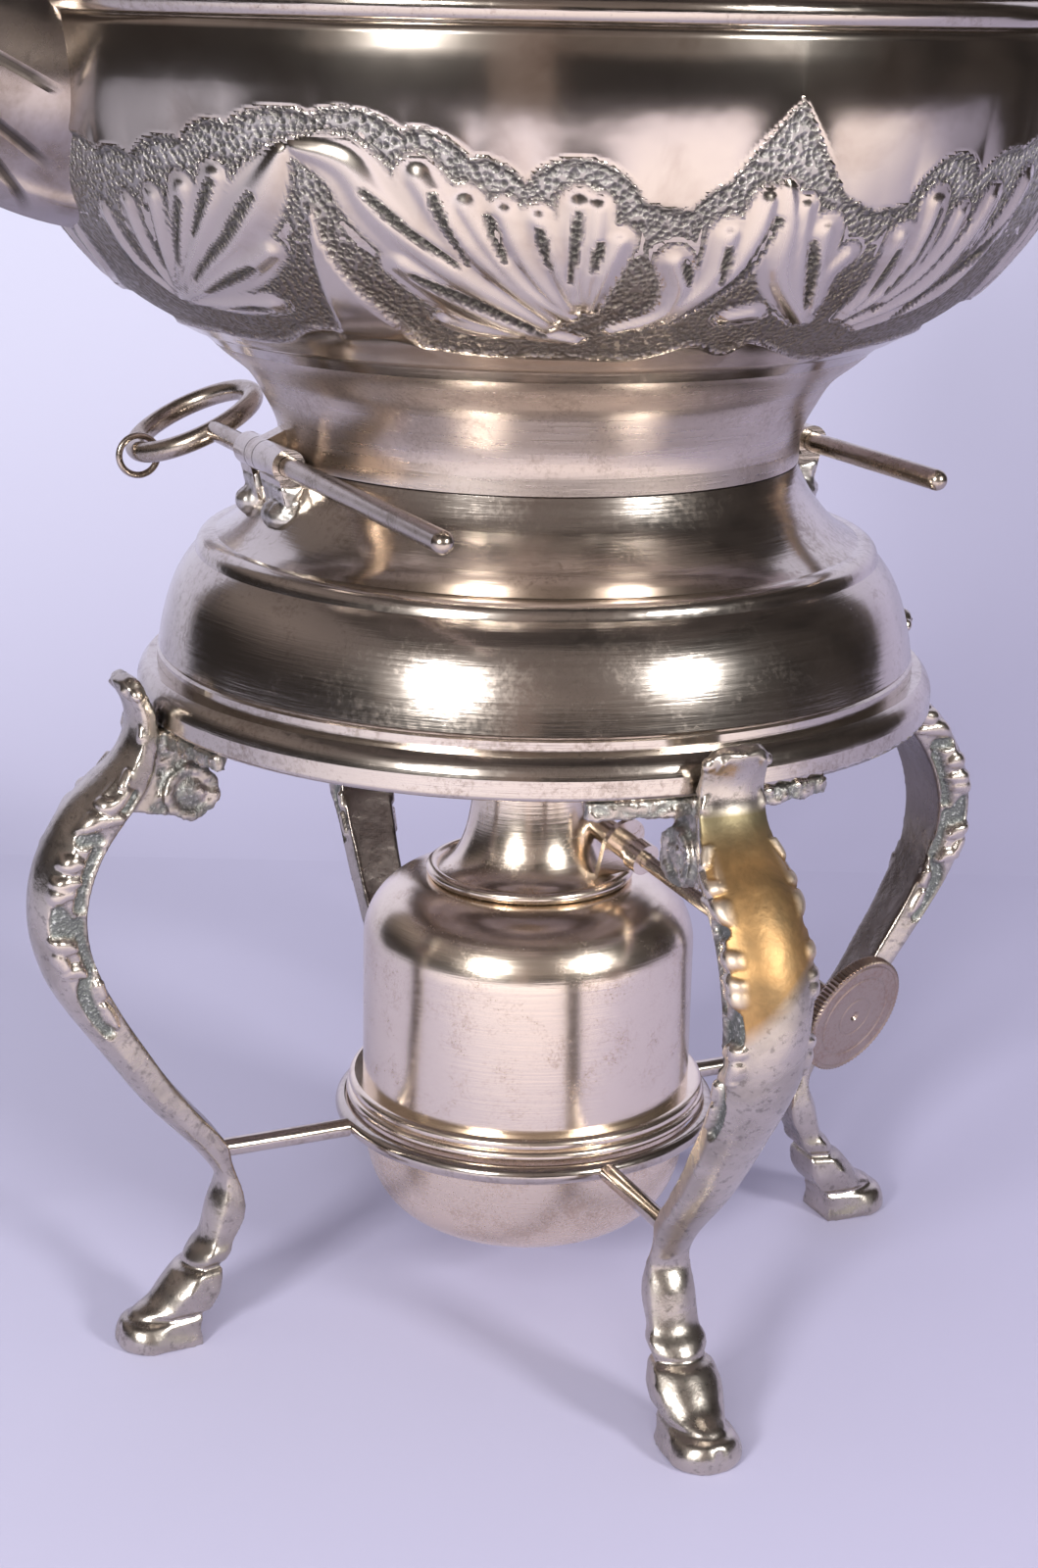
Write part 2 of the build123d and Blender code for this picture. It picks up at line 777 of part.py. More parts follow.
# Lid: a spun dome with its locating skirt and the moving hinge knuckle
lid_rim = (lid_radius, lid_base + sheet)
lid_crown = (finial_radius * 0.9, lid_base + lid_rise)
lid_shares = [(0.12, 0.30), (0.38, 0.60), (0.70, 0.86)]
lid_runs = [
    [(lid_radius, lid_base), lid_rim],
    [lid_rim, *between(lid_rim, lid_crown, lid_shares), lid_crown],
    [lid_crown, (0, lid_base + lid_rise)],
]
skirt_outer = collar_outer - collar_wall - rest_gap - 0.3
with BuildPart() as lid:
    with BuildSketch(Plane.XZ):
        with BuildLine():
            wall_section(lid_runs, sheet)
        make_face()
        with BuildLine():
            Polyline(
                (lid_radius - 0.6, lid_base),
                (lid_radius - 0.6, lid_base + sheet),
                (skirt_outer - thin_sheet, lid_base + sheet),
                (skirt_outer - thin_sheet, lid_base - lid_skirt_depth),
                (skirt_outer, lid_base - lid_skirt_depth),
                (skirt_outer, lid_base),
                (lid_radius - 0.6, lid_base),
            )
        make_face()
    revolve(axis=Axis.Z)
    with BuildSketch(Plane.XZ):
        with BuildLine():
            Polyline(
                (lid_radius - 1.2, lid_base),
                (lid_hinge_offset, lid_hinge_height - 0.7),
                (lid_hinge_offset, lid_hinge_height + lid_knuckle_radius),
                (lid_radius - 1.2, lid_base + sheet),
                (lid_radius - 1.2, lid_base),
            )
        make_face()
        with Locations((lid_hinge_offset, lid_hinge_height)):
            Circle(lid_knuckle_radius)
    extrude(amount=lid_knuckle_length / 2, both=True)
    with Locations((lid_hinge_offset, 0, lid_hinge_height)):
        Cylinder(
            lid_pin_radius + running_gap / 2, lid_knuckle_length + 1, rotation=(90, 0, 0), mode=Mode.SUBTRACT
        )
save(lid, "lid")

finial_base = lid_base + lid_rise
with BuildPart() as lid_finial:
    with BuildSketch(Plane.XZ):
        with BuildLine():
            Polyline(
                (0, finial_base),
                (0.8 * finial_radius, finial_base),
                (0.8 * finial_radius, finial_base + 1.6),
                (0.36 * finial_radius, finial_base + 3.2),
                (0.30 * finial_radius, finial_base + 7.0),
                (0.62 * finial_radius, finial_base + 8.6),
            )
            Spline(
                (0.62 * finial_radius, finial_base + 8.6),
                (finial_radius, finial_base + 0.52 * finial_height),
                (0.72 * finial_radius, finial_base + 0.76 * finial_height),
                (0.22 * finial_radius, finial_base + 0.93 * finial_height),
                (0, finial_base + finial_height),
            )
            Line((0, finial_base + finial_height), (0, finial_base))
        make_face()
    revolve(axis=Axis.Z)
save(lid_finial, "lid_finial")

# Bail lugs on the shoulder, front over the spout and rear opposite, with their rivets
lug_outer = bail_reach - bail_arm_radius - rest_gap


def lug(side):
    """Upright lug with its foot on the shoulder and a bore for the rivet."""
    with BuildPart() as post:
        with BuildSketch(Plane.YZ.offset(side * lug_outer)):
            with BuildLine():
                Polyline(
                    (-bail_eye_radius, bail_pivot_height),
                    (-bail_eye_radius - lug_splay, bail_pivot_height - lug_height),
                    (bail_eye_radius + lug_splay, bail_pivot_height - lug_height),
                    (bail_eye_radius, bail_pivot_height),
                )
                ThreePointArc(
                    (bail_eye_radius, bail_pivot_height),
                    (0, bail_pivot_height + bail_eye_radius),
                    (-bail_eye_radius, bail_pivot_height),
                )
            make_face()
            with Locations((0, bail_pivot_height)):
                Circle(rivet_radius, mode=Mode.SUBTRACT)
        extrude(amount=-side * lug_thickness)
        add(body_core.part, mode=Mode.SUBTRACT)
        if side < 0:
            add(spout_outer.part, mode=Mode.SUBTRACT)
    return post


def rivet(side):
    """Rivet through the lug and the bail's eye, with a domed head at each end."""
    inner = lug_outer - lug_thickness - rivet_head_height
    outer = bail_reach + bail_eye_thickness / 2 + rest_gap + rivet_head_height
    with BuildPart() as stud:
        with BuildSketch(Plane.XY):
            with BuildLine():
                Polyline(
                    (0, inner),
                    (rivet_head_radius * 0.7, inner),
                    (rivet_head_radius, inner + rivet_head_height * 0.6),
                    (rivet_head_radius, inner + rivet_head_height),
                    (rivet_radius, inner + rivet_head_height),
                    (rivet_radius, outer - rivet_head_height),
                    (rivet_head_radius, outer - rivet_head_height),
                    (rivet_head_radius, outer - rivet_head_height * 0.6),
                    (rivet_head_radius * 0.7, outer),
                    (0, outer),
                    (0, inner),
                )
            make_face()
        revolve(axis=Axis.Y)
    turned = stud.part.rotate(Axis.Z, -90 * side)
    with BuildPart() as placed:
        add(turned.translate((0, 0, bail_pivot_height)))
    return placed


# Eye, upright rod and bend of one end of the bail, up to the grip
arm_start = bail_pivot_height + 0.75 * bail_eye_radius
arm_end = grip_half + 0.5 * insulator_length
bend_center = bail_reach - bail_bend_radius
with BuildPart() as arm_rod:
    with BuildSketch(Plane.XY.offset(arm_start)):
        with Locations((bail_reach, 0)):
            Circle(bail_arm_radius)
    extrude(amount=bail_shoulder_height - arm_start)
    with BuildSketch(Plane.XY.offset(bail_shoulder_height)):
        with Locations((bail_reach, 0)):
            Circle(bail_arm_radius)
    revolve(axis=Axis((bend_center, 0, bail_shoulder_height), (0, -1, 0)), revolution_arc=90)
    with BuildSketch(Plane.YZ.offset(arm_end)):
        with Locations((0, bail_crown)):
            Circle(bail_arm_radius)
    extrude(amount=bend_center - arm_end)
    with BuildSketch(Plane.YZ.offset(bail_reach - bail_eye_thickness / 2)):
        with Locations((0, bail_pivot_height)):
            Circle(bail_eye_radius)
    extrude(amount=bail_eye_thickness)
    with BuildSketch(Plane.YZ.offset(bail_reach - bail_eye_thickness)):
        with Locations((0, bail_pivot_height)):
            Circle(rivet_radius + running_gap)
    extrude(amount=2 * bail_eye_thickness, mode=Mode.SUBTRACT)


def bail_arm(side):
    """One end of the bail, turned to the front or the rear."""
    with BuildPart() as arm:
        add(arm_rod.part, rotation=(0, 0, 90 * (1 - side)))
    return arm


for name, side in {"front": -1, "rear": 1}.items():
    save(lug(side), f"bail_lug_{name}")
    save(rivet(side), f"bail_rivet_{name}")
    save(bail_arm(side), f"bail_arm_{name}")
    with BuildPart() as insulator:
        with BuildSketch(Plane.YZ.offset(side * grip_half)):
            with Locations((0, bail_crown)):
                Circle(insulator_radius)
                Circle(bail_arm_radius + solder_film, mode=Mode.SUBTRACT)
        extrude(amount=side * insulator_length)
    save(insulator, f"bail_insulator_{name}")

with BuildPart() as bail_grip:
    with BuildSketch(Plane.XZ):
        with BuildLine():
            Line((-grip_half, bail_crown), (-grip_half, bail_crown + grip_end_radius))
            ThreePointArc(
                (-grip_half, bail_crown + grip_end_radius),
                (0, bail_crown + grip_radius),
                (grip_half, bail_crown + grip_end_radius),
            )
            Polyline(
                (grip_half, bail_crown + grip_end_radius),
                (grip_half, bail_crown),
                (-grip_half, bail_crown),
            )
        make_face()
    revolve(axis=Axis((0, 0, bail_crown), (1, 0, 0)))
save(bail_grip, "bail_grip")

# Burner: bowl and reservoir shells that meet on the double-bead flange
flange_bore = burner_radius - sheet - 2.0
with BuildPart() as burner_flange:
    with BuildSketch(Plane.XZ):
        with BuildLine():
            bead = flange_height / 4
            ledge = flange_outer_radius - bead
            waist = (ledge + 0.2, flange_base + 2 * bead)
            Line((flange_bore, flange_base), (ledge, flange_base))
            ThreePointArc((ledge, flange_base), (flange_outer_radius, flange_base + bead), waist)
            ThreePointArc(
                waist,
                (flange_outer_radius - 0.5, flange_base + 3 * bead),
                (ledge - 0.5, flange_top),
            )
            Polyline((ledge - 0.5, flange_top), (flange_bore, flange_top), (flange_bore, flange_base))
        make_face()
    revolve(axis=Axis.Z)
save(burner_flange, "burner_flange")

wall_top = (burner_radius, burner_wall_top)
shoulder_end = (burner_radius - shoulder_radius, reservoir_top)
quarter = [radians(angle) for angle in (22.5, 45, 67.5)]
rounding = [(1 - cos(angle), sin(angle)) for angle in quarter]
reservoir_runs = [
    [(burner_radius, flange_top), wall_top],
    [wall_top, *between(wall_top, shoulder_end, rounding), shoulder_end],
    [shoulder_end, (cone_base_radius - 4.0, reservoir_top)],
]
with BuildPart() as burner_reservoir:
    with BuildSketch(Plane.XZ):
        with BuildLine():
            wall_section(reservoir_runs, thin_sheet)
        make_face()
    revolve(axis=Axis.Z)
save(burner_reservoir, "burner_reservoir")

bowl_rim = (burner_bowl_radius - 0.2, flange_base)
bowl_foot = (burner_foot_radius, burner_bowl_bottom)
tub_shares = [(0.44, 0.07), (0.70, 0.20), (0.86, 0.38), (0.95, 0.60)]
tub_runs = [
    [(0, burner_bowl_bottom), bowl_foot],
    [bowl_foot, *between(bowl_foot, bowl_rim, tub_shares), bowl_rim],
]
with BuildPart() as burner_bowl:
    with BuildSketch(Plane.XZ):
        with BuildLine():
            wall_section(tub_runs, thin_sheet)
        make_face()
    revolve(axis=Axis.Z)
    split(bisect_by=Plane.XY.offset(flange_base), keep=Keep.BOTTOM)
save(burner_bowl, "burner_bowl")

# Winder's frame: along the spindle outwards, on a line that passes beside the wick
bearing = radians(winder_bearing)
fall = radians(winder_fall)
winder_along = Vector(cos(bearing) * cos(fall), sin(bearing) * cos(fall), -sin(fall))
winder_side = Vector(-sin(bearing), cos(bearing), 0)
winder_origin = winder_side * winder_offset + Vector(0, 0, winder_height)


def across_winder(reach):
    """Plane square to the spindle at a distance outwards, with x level."""
    return Plane(origin=winder_origin + winder_along * reach, x_dir=winder_side, z_dir=winder_along)


with BuildPart() as winder_way:
    with BuildSketch(across_winder(-spur_length)):
        Circle(gland_radius + solder_film)
    extrude(amount=gland_end + spur_length)

# Cone over the wick tube: rolled plate, flare and turned-in top
plate_level = reservoir_top + 0.1
cone_top = plate_level + cone_height
cone_foot = (cone_base_radius, plate_level + 1.6)
cone_neck = (cone_top_radius, cone_top)
flare_shares = [(0.36, 0.07), (0.64, 0.20), (0.84, 0.40), (0.95, 0.65)]
cone_runs = [
    [(plate_radius - 0.4, plate_level + 1.4), cone_foot],
    [cone_foot, *between(cone_foot, cone_neck, flare_shares), cone_neck],
    [cone_neck, (wick_tube_radius + solder_film, cone_top)],
]
with BuildPart() as burner_cone:
    with BuildSketch(Plane.XZ):
        with BuildLine():
            wall_section(cone_runs, thin_sheet)
        make_face()
        with Locations((plate_radius - plate_bead_radius, plate_level + plate_bead_radius)):
            Circle(plate_bead_radius)
    revolve(axis=Axis.Z)
    add(winder_way.part, mode=Mode.SUBTRACT)
save(burner_cone, "burner_cone")

with BuildPart() as wick_tube:
    with BuildSketch(Plane.XY.offset(wick_tube_bottom)):
        Circle(wick_tube_radius)
        Circle(wick_radius + rest_gap, mode=Mode.SUBTRACT)
    extrude(amount=wick_tube_top - wick_tube_bottom)
    # Window for the spur wheel
    with BuildSketch(across_winder(-spur_length / 2 - 1.0)):
        Circle(spur_radius + 0.8)
    extrude(amount=spur_length + 2.0, mode=Mode.SUBTRACT)
save(wick_tube, "wick_tube")

with BuildPart() as wick:
    with BuildSketch(Plane.XY.offset(wick_bottom)):
        Circle(wick_radius)
    extrude(amount=wick_tube_top + wick_stand_up - wick_bottom)
save(wick, "wick")

# Turned-up bracket and gland that carry the spindle
with BuildPart() as winder_bracket:
    plate_plane = across_winder(bracket_reach)
    with BuildSketch(plate_plane):
        Circle(2 * gland_radius)
        Rectangle(4 * gland_radius, 3.4 * gland_radius, align=(Align.CENTER, Align.MAX))
        Circle(gland_radius + solder_film, mode=Mode.SUBTRACT)
    extrude(amount=bracket_thickness)
    split(bisect_by=Plane.XY.offset(plate_level + 2 * plate_bead_radius), keep=Keep.TOP)
    add(burner_cone.part, mode=Mode.SUBTRACT)
save(winder_bracket, "winder_bracket")

with BuildPart() as winder_gland:
    with BuildSketch(across_winder(gland_start)):
        Circle(gland_radius)
        Circle(spindle_radius + running_gap, mode=Mode.SUBTRACT)
    extrude(amount=gland_end - gland_start)
    with BuildSketch(across_winder(gland_end - 3.0)):
        Circle(gland_radius + 0.6)
        Circle(gland_radius, mode=Mode.SUBTRACT)
    extrude(amount=3.0)
save(winder_gland, "winder_gland")

# Spindle with its knurled disc outside and the spur wheel beside the wick
with BuildPart() as winder_spindle:
    with BuildSketch(across_winder(-spur_length)):
        Circle(spindle_radius)
    extrude(amount=winder_length + spur_length - disc_thickness)
save(winder_spindle, "winder_spindle")

with BuildPart() as winder_disc:
    with BuildSketch(across_winder(winder_length - disc_thickness)):
        Circle(disc_radius)
    extrude(amount=disc_thickness)
    chamfer(winder_disc.edges().filter_by(GeomType.CIRCLE), length=0.3)
save(winder_disc, "winder_disc")

with BuildPart() as spur_wheel:
    with BuildSketch(across_winder(-spur_length / 2)):
        Circle(spur_radius - 0.6)
        with PolarLocations(spur_radius - 0.6, spur_teeth):
            Rectangle(1.2, 0.7)
        Circle(spindle_radius + solder_film, mode=Mode.SUBTRACT)
    extrude(amount=spur_length)
save(spur_wheel, "spur_wheel")
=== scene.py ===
import json
from math import cos, pi, radians, sin

import bmesh
import bpy
import numpy as np
from mathutils import Matrix, Vector, noise
from mathutils.bvhtree import BVHTree


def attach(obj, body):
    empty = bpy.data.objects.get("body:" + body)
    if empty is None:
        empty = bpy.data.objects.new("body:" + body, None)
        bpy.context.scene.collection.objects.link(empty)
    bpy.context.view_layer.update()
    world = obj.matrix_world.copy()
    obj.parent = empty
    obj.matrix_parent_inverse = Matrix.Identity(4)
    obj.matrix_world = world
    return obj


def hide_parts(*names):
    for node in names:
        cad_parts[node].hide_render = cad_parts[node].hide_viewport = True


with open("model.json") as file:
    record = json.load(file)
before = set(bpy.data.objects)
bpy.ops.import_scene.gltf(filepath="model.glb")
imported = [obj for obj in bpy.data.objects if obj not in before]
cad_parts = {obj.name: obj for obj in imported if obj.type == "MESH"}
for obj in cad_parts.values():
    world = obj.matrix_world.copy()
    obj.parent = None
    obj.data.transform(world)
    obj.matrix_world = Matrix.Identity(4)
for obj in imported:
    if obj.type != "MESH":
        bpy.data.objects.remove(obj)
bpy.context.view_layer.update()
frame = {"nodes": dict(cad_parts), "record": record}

MM = 0.001
scene = bpy.context.scene
nodes = frame["nodes"]
bodies = frame["record"]["behaviour"]["bodies"]

# The camera as it fits the photo. The row's frame is turned off its line of sight.
VIEW_TURN = radians(25.0)
CAMERA_PLACE = Vector((-0.2058, -0.4414, 0.2508))
CAMERA_PITCH = radians(16.783)
CAMERA_ROLL = radians(1.135)
CAMERA_PAN = radians(-0.286)
LENS = 60.19
SENSOR_HEIGHT = 36.0


def from_view(right, away, up):
    """A point or direction given to the right of, away from and above the viewer, in the row's frame."""
    return Vector((
        right * cos(VIEW_TURN) + away * sin(VIEW_TURN),
        -right * sin(VIEW_TURN) + away * cos(VIEW_TURN),
        up,
    ))


def in_scene(name, data):
    """A new object of the scene, at the origin."""
    piece = bpy.data.objects.new(name, data)
    scene.collection.objects.link(piece)
    return piece


def place_camera():
    """Camera at the photo's angle."""
    right = from_view(cos(CAMERA_PAN), -sin(CAMERA_PAN), 0)
    level = from_view(sin(CAMERA_PAN), cos(CAMERA_PAN), 0)
    ahead = level * cos(CAMERA_PITCH) - Vector((0, 0, sin(CAMERA_PITCH)))
    above = level * sin(CAMERA_PITCH) + Vector((0, 0, cos(CAMERA_PITCH)))
    rolled_right = right * cos(CAMERA_ROLL) + above * sin(CAMERA_ROLL)
    rolled_above = above * cos(CAMERA_ROLL) - right * sin(CAMERA_ROLL)
    data = bpy.data.cameras.new("view")
    data.sensor_fit = "VERTICAL"
    data.sensor_height = SENSOR_HEIGHT
    data.lens = LENS
    data.clip_start = 0.01
    camera = in_scene("view", data)
    turn = Matrix((rolled_right, rolled_above, -ahead)).transposed()
    camera.matrix_world = Matrix.Translation(CAMERA_PLACE) @ turn.to_4x4()
    scene.camera = camera


# Node materials

class Recipe:
    """A material's nodes, with short ways to add and join them."""

    def __init__(self, name):
        self.material = bpy.data.materials.new(name)
        self.material.use_nodes = True
        self.tree = self.material.node_tree
        self.tree.nodes.clear()
        self.shader = self.add("ShaderNodeBsdfPrincipled")
        out = self.add("ShaderNodeOutputMaterial")
        self.join(self.shader.outputs[0], out.inputs["Surface"])

    def add(self, kind, **settings):
        node = self.tree.nodes.new(kind)
        for key, value in settings.items():
            setattr(node, key, value)
        return node

    def join(self, source, target):
        self.tree.links.new(source, target)

    def place(self, stretch=(1, 1, 1), turn=(0, 0, 0)):
        """Object coordinates, turned and stretched."""
        where = self.add("ShaderNodeTexCoord")
        mapping = self.add("ShaderNodeMapping")
        mapping.inputs["Rotation"].default_value = turn
        mapping.inputs["Scale"].default_value = stretch
        self.join(where.outputs["Object"], mapping.inputs["Vector"])
        return mapping.outputs[0]

    def axes(self, turn=(0, 0, 0)):
        """Object coordinates, turned, one by one."""
        apart = self.add("ShaderNodeSeparateXYZ")
        self.join(self.place(turn=turn), apart.inputs[0])
        return apart.outputs

    def noise(self, scale, detail=4.0, rough=0.55, vector=None, warp=0.0):
        node = self.add("ShaderNodeTexNoise")
        node.inputs["Scale"].default_value = scale
        node.inputs["Detail"].default_value = detail
        node.inputs["Roughness"].default_value = rough
        node.inputs["Distortion"].default_value = warp
        self.join(vector or self.place(), node.inputs["Vector"])
        return node.outputs["Fac"]

    def grade(self, value, low, high, start=0.0, end=1.0):
        """A value stretched from low..high to start..end, and held within it."""
        node = self.add("ShaderNodeMapRange")
        for key, number in zip(("From Min", "From Max", "To Min", "To Max"), (low, high, start, end)):
            node.inputs[key].default_value = number
        self.join(value, node.inputs["Value"])
        return node.outputs[0]

    def math(self, kind, first, second):
        node = self.add("ShaderNodeMath", operation=kind)
        for socket, value in zip(node.inputs, (first, second)):
            if isinstance(value, (int, float)):
                socket.default_value = value
            else:
                self.join(value, socket)
        return node.outputs[0]

    def plus(self, first, second):
        return self.math("ADD", first, second)

    def times(self, first, second):
        return self.math("MULTIPLY", first, second)

    def mix(self, share, first, second):
        node = self.add("ShaderNodeMix", data_type="RGBA")
        self.join(share, node.inputs["Factor"])
        for socket, value in zip((node.inputs["A"], node.inputs["B"]), (first, second)):
            if isinstance(value, tuple):
                socket.default_value = (*value, 1.0)
            else:
                self.join(value, socket)
        return node.outputs["Result"]

    def attribute(self, name):
        """A value that the mesh keeps at its corner points."""
        return self.add("ShaderNodeAttribute", attribute_name=name).outputs["Fac"]

    def bump(self, height, depth, strength, under=None):
        node = self.add("ShaderNodeBump")
        node.inputs["Strength"].default_value = strength
        node.inputs["Distance"].default_value = depth
        self.join(height, node.inputs["Height"])
        if under is not None:
            self.join(under, node.inputs["Normal"])
        return node.outputs[0]

    def finish(self, color, rough, normal=None, **sockets):
        """Set the shader's sockets from nodes or constants, and hand over the material."""
        for value, name in ((color, "Base Color"), (rough, "Roughness"), (normal, "Normal")):
            if value is None:
                continue
            if isinstance(value, tuple):
                self.shader.inputs[name].default_value = (*value, 1.0)
            elif isinstance(value, float):
                self.shader.inputs[name].default_value = value
            else:
                self.join(value, self.shader.inputs[name])
        for name, value in sockets.items():
            self.shader.inputs[name.replace("_", " ")].default_value = value
        return self.material


SILVER = (0.60, 0.53, 0.46)
STAIN = (0.36, 0.285, 0.235)
# Plated parts: bright tone, stain, how much is stained, least and greatest roughness, scale of the blotches
PLATES = {
    "kettle_plate": (SILVER, STAIN, 0.34, 0.125, 0.30, 75.0),
    "foot_plate": ((0.60, 0.52, 0.455), STAIN, 0.45, 0.26, 0.44, 90.0),
    "stand_plate": ((0.61, 0.545, 0.485), (0.30, 0.235, 0.19), 0.46, 0.14, 0.33, 80.0),
    "burner_plate": ((0.89, 0.77, 0.64), (0.56, 0.42, 0.33), 0.34, 0.18, 0.38, 150.0),
    "burner_bowl_plate": ((0.88, 0.74, 0.59), (0.60, 0.44, 0.32), 0.40, 0.24, 0.42, 130.0),
    "disc_plate": ((0.42, 0.335, 0.28), (0.33, 0.215, 0.165), 0.6, 0.30, 0.46, 120.0),
    "wire_plate": ((0.50, 0.43, 0.365), (0.25, 0.19, 0.14), 0.6, 0.20, 0.42, 160.0),
    "solder": ((0.58, 0.54, 0.50), (0.30, 0.275, 0.25), 0.6, 0.26, 0.5, 140.0),
}


def plate(name):
    """Worn silver plate with stains, tarnish specks, brushed marks and small dents."""
    bright, stain, stained, polish, dull, blotch = PLATES[name]
    r = Recipe(name)
    cloud = r.noise(blotch, 6.0, 0.68, warp=0.3)
    speck = r.noise(blotch * 12, 4.0, 0.65)
    mottle = r.plus(r.times(cloud, 0.6), r.times(speck, 0.5))
    share = r.grade(mottle, 0.62 - 0.14 * stained, 0.80 - 0.05 * stained)
    color = r.mix(share, bright, stain)
    specks = r.grade(r.noise(blotch * 26, 3.0, 0.7), 0.60, 0.70)
    freckle = r.times(specks, r.grade(cloud, 0.40, 0.62, 0.15, 0.75))
    color = r.mix(freckle, color, tuple(0.45 * part for part in stain))
    brushed = r.noise(1100.0, 3.0, 0.65, r.place(stretch=(0.05, 0.05, 1.6)))
    haze = r.plus(r.times(share, 0.6), r.times(brushed, 0.5))
    haze = r.plus(haze, r.times(freckle, 0.3))
    rough = r.grade(haze, 0.15, 0.95, polish, dull)
    normal = r.bump(r.noise(110.0, 2.0, 0.5), 0.0004, 0.16)
    normal = r.bump(brushed, 0.00005, 0.6, under=normal)
    return r.finish(color, rough, normal, Metallic=1.0)


# Veins engraved on both sides of the spout's root: both ends, as x and height in mm
SPOUT_VEINS = [((-112, 236.2), (-93.6, 221.8)), ((-112, 235.1), (-95.7, 214.4)), ((-112, 244.7), (-94.2, 234.3))]
VEIN_TAPER = 5


def spout_vein(r, x, height, start, end):
    """How much of each place is in a vein, which thins out towards its end."""
    size = np.hypot(end[0] - start[0], end[1] - start[1])
    along_x, along_z = (end[0] - start[0]) / size, (end[1] - start[1]) / size
    across = r.plus(r.times(x, -along_z), r.times(height, along_x))
    across = r.math("SUBTRACT", across, (start[1] * along_x - start[0] * along_z) * MM)
    along = r.plus(r.times(x, along_x), r.times(height, along_z))
    along = r.math("SUBTRACT", along, (start[0] * along_x + start[1] * along_z) * MM)
    vein = r.grade(r.math("ABSOLUTE", across, 0.0), 0.0010, 0.0003)
    vein = r.times(vein, r.grade(along, 0.0, 0.002))
    return r.times(vein, r.grade(along, size * MM, (size - VEIN_TAPER) * MM))


def spout_finish():
    """Duller plate, with dark engraved veins."""
    r = Recipe("spout_plate")
    x, _, height = r.axes()
    veins = 0.0
    for start, end in SPOUT_VEINS:
        veins = r.math("MAXIMUM", veins, spout_vein(r, x, height, start, end))
    cloud = r.noise(90.0, 5.0, 0.65, warp=0.3)
    color = r.mix(r.grade(cloud, 0.40, 0.70), (0.45, 0.395, 0.365), (0.25, 0.20, 0.165))
    color = r.mix(r.times(veins, 0.9), color, (0.06, 0.05, 0.043))
    rough = r.plus(r.grade(cloud, 0.35, 0.75, 0.17, 0.34), r.times(veins, 0.2))
    normal = r.bump(r.math("SUBTRACT", 1.0, veins), 0.0005, 0.8)
    return r.finish(color, rough, normal, Metallic=1.0)


def chased_finish():
    """Plate over the chasing: punched dark ground, painted shade in the flutes and cut lines, and a painted highlight
    on the crests.
    """
    r = Recipe("chased_plate")
    ground, groove_painted_shade, crest = r.attribute("ground"), r.attribute("groove_painted_shade"), r.attribute("crest")
    cloud = r.noise(60.0, 5.0, 0.62, warp=0.4)
    color = r.mix(r.grade(cloud, 0.5, 0.85), SILVER, STAIN)
    # Painted highlight: the raised crests are lightened.
    color = r.mix(r.times(crest, 0.5), color, (0.70, 0.63, 0.56))
    punch = r.add("ShaderNodeTexVoronoi", feature="SMOOTH_F1")
    punch.inputs["Scale"].default_value = 1050.0
    punch.inputs["Smoothness"].default_value = 0.3
    r.join(r.place(), punch.inputs["Vector"])
    grain = r.noise(1500.0, 3.0, 0.7)
    pit = r.grade(r.plus(punch.outputs["Distance"], r.times(grain, 0.5)), 0.42, 0.95)
    worked = r.math("MAXIMUM", ground, groove_painted_shade)
    patina = r.grade(r.noise(170.0, 4.0, 0.65), 0.36, 0.62)
    low = r.grade(r.axes()[2], 0.229, 0.207)
    deep = r.mix(low, (0.20, 0.195, 0.185), (0.15, 0.125, 0.105))
    deep = r.mix(r.times(patina, 0.6), deep, (0.075, 0.07, 0.062))
    raised = r.mix(low, (0.52, 0.49, 0.46), (0.18, 0.15, 0.125))
    color = r.mix(worked, color, r.mix(pit, deep, raised))
    # Painted shade in the flutes and in the lines cut round the leaves and along the scallops.
    color = r.mix(r.times(groove_painted_shade, 0.72), color, (0.085, 0.08, 0.07))
    matt = r.times(worked, r.grade(pit, 0.0, 1.0, 1.0, 0.55))
    rough = r.grade(matt, 0.0, 1.0, 0.15, 0.55)
    rough = r.plus(rough, r.times(crest, 0.13))
    normal = r.bump(r.noise(110.0, 2.0, 0.5), 0.0004, 0.14)
    normal = r.bump(r.times(pit, worked), 0.0006, 0.85, under=normal)
    return r.finish(color, rough, normal, Metallic=1.0)


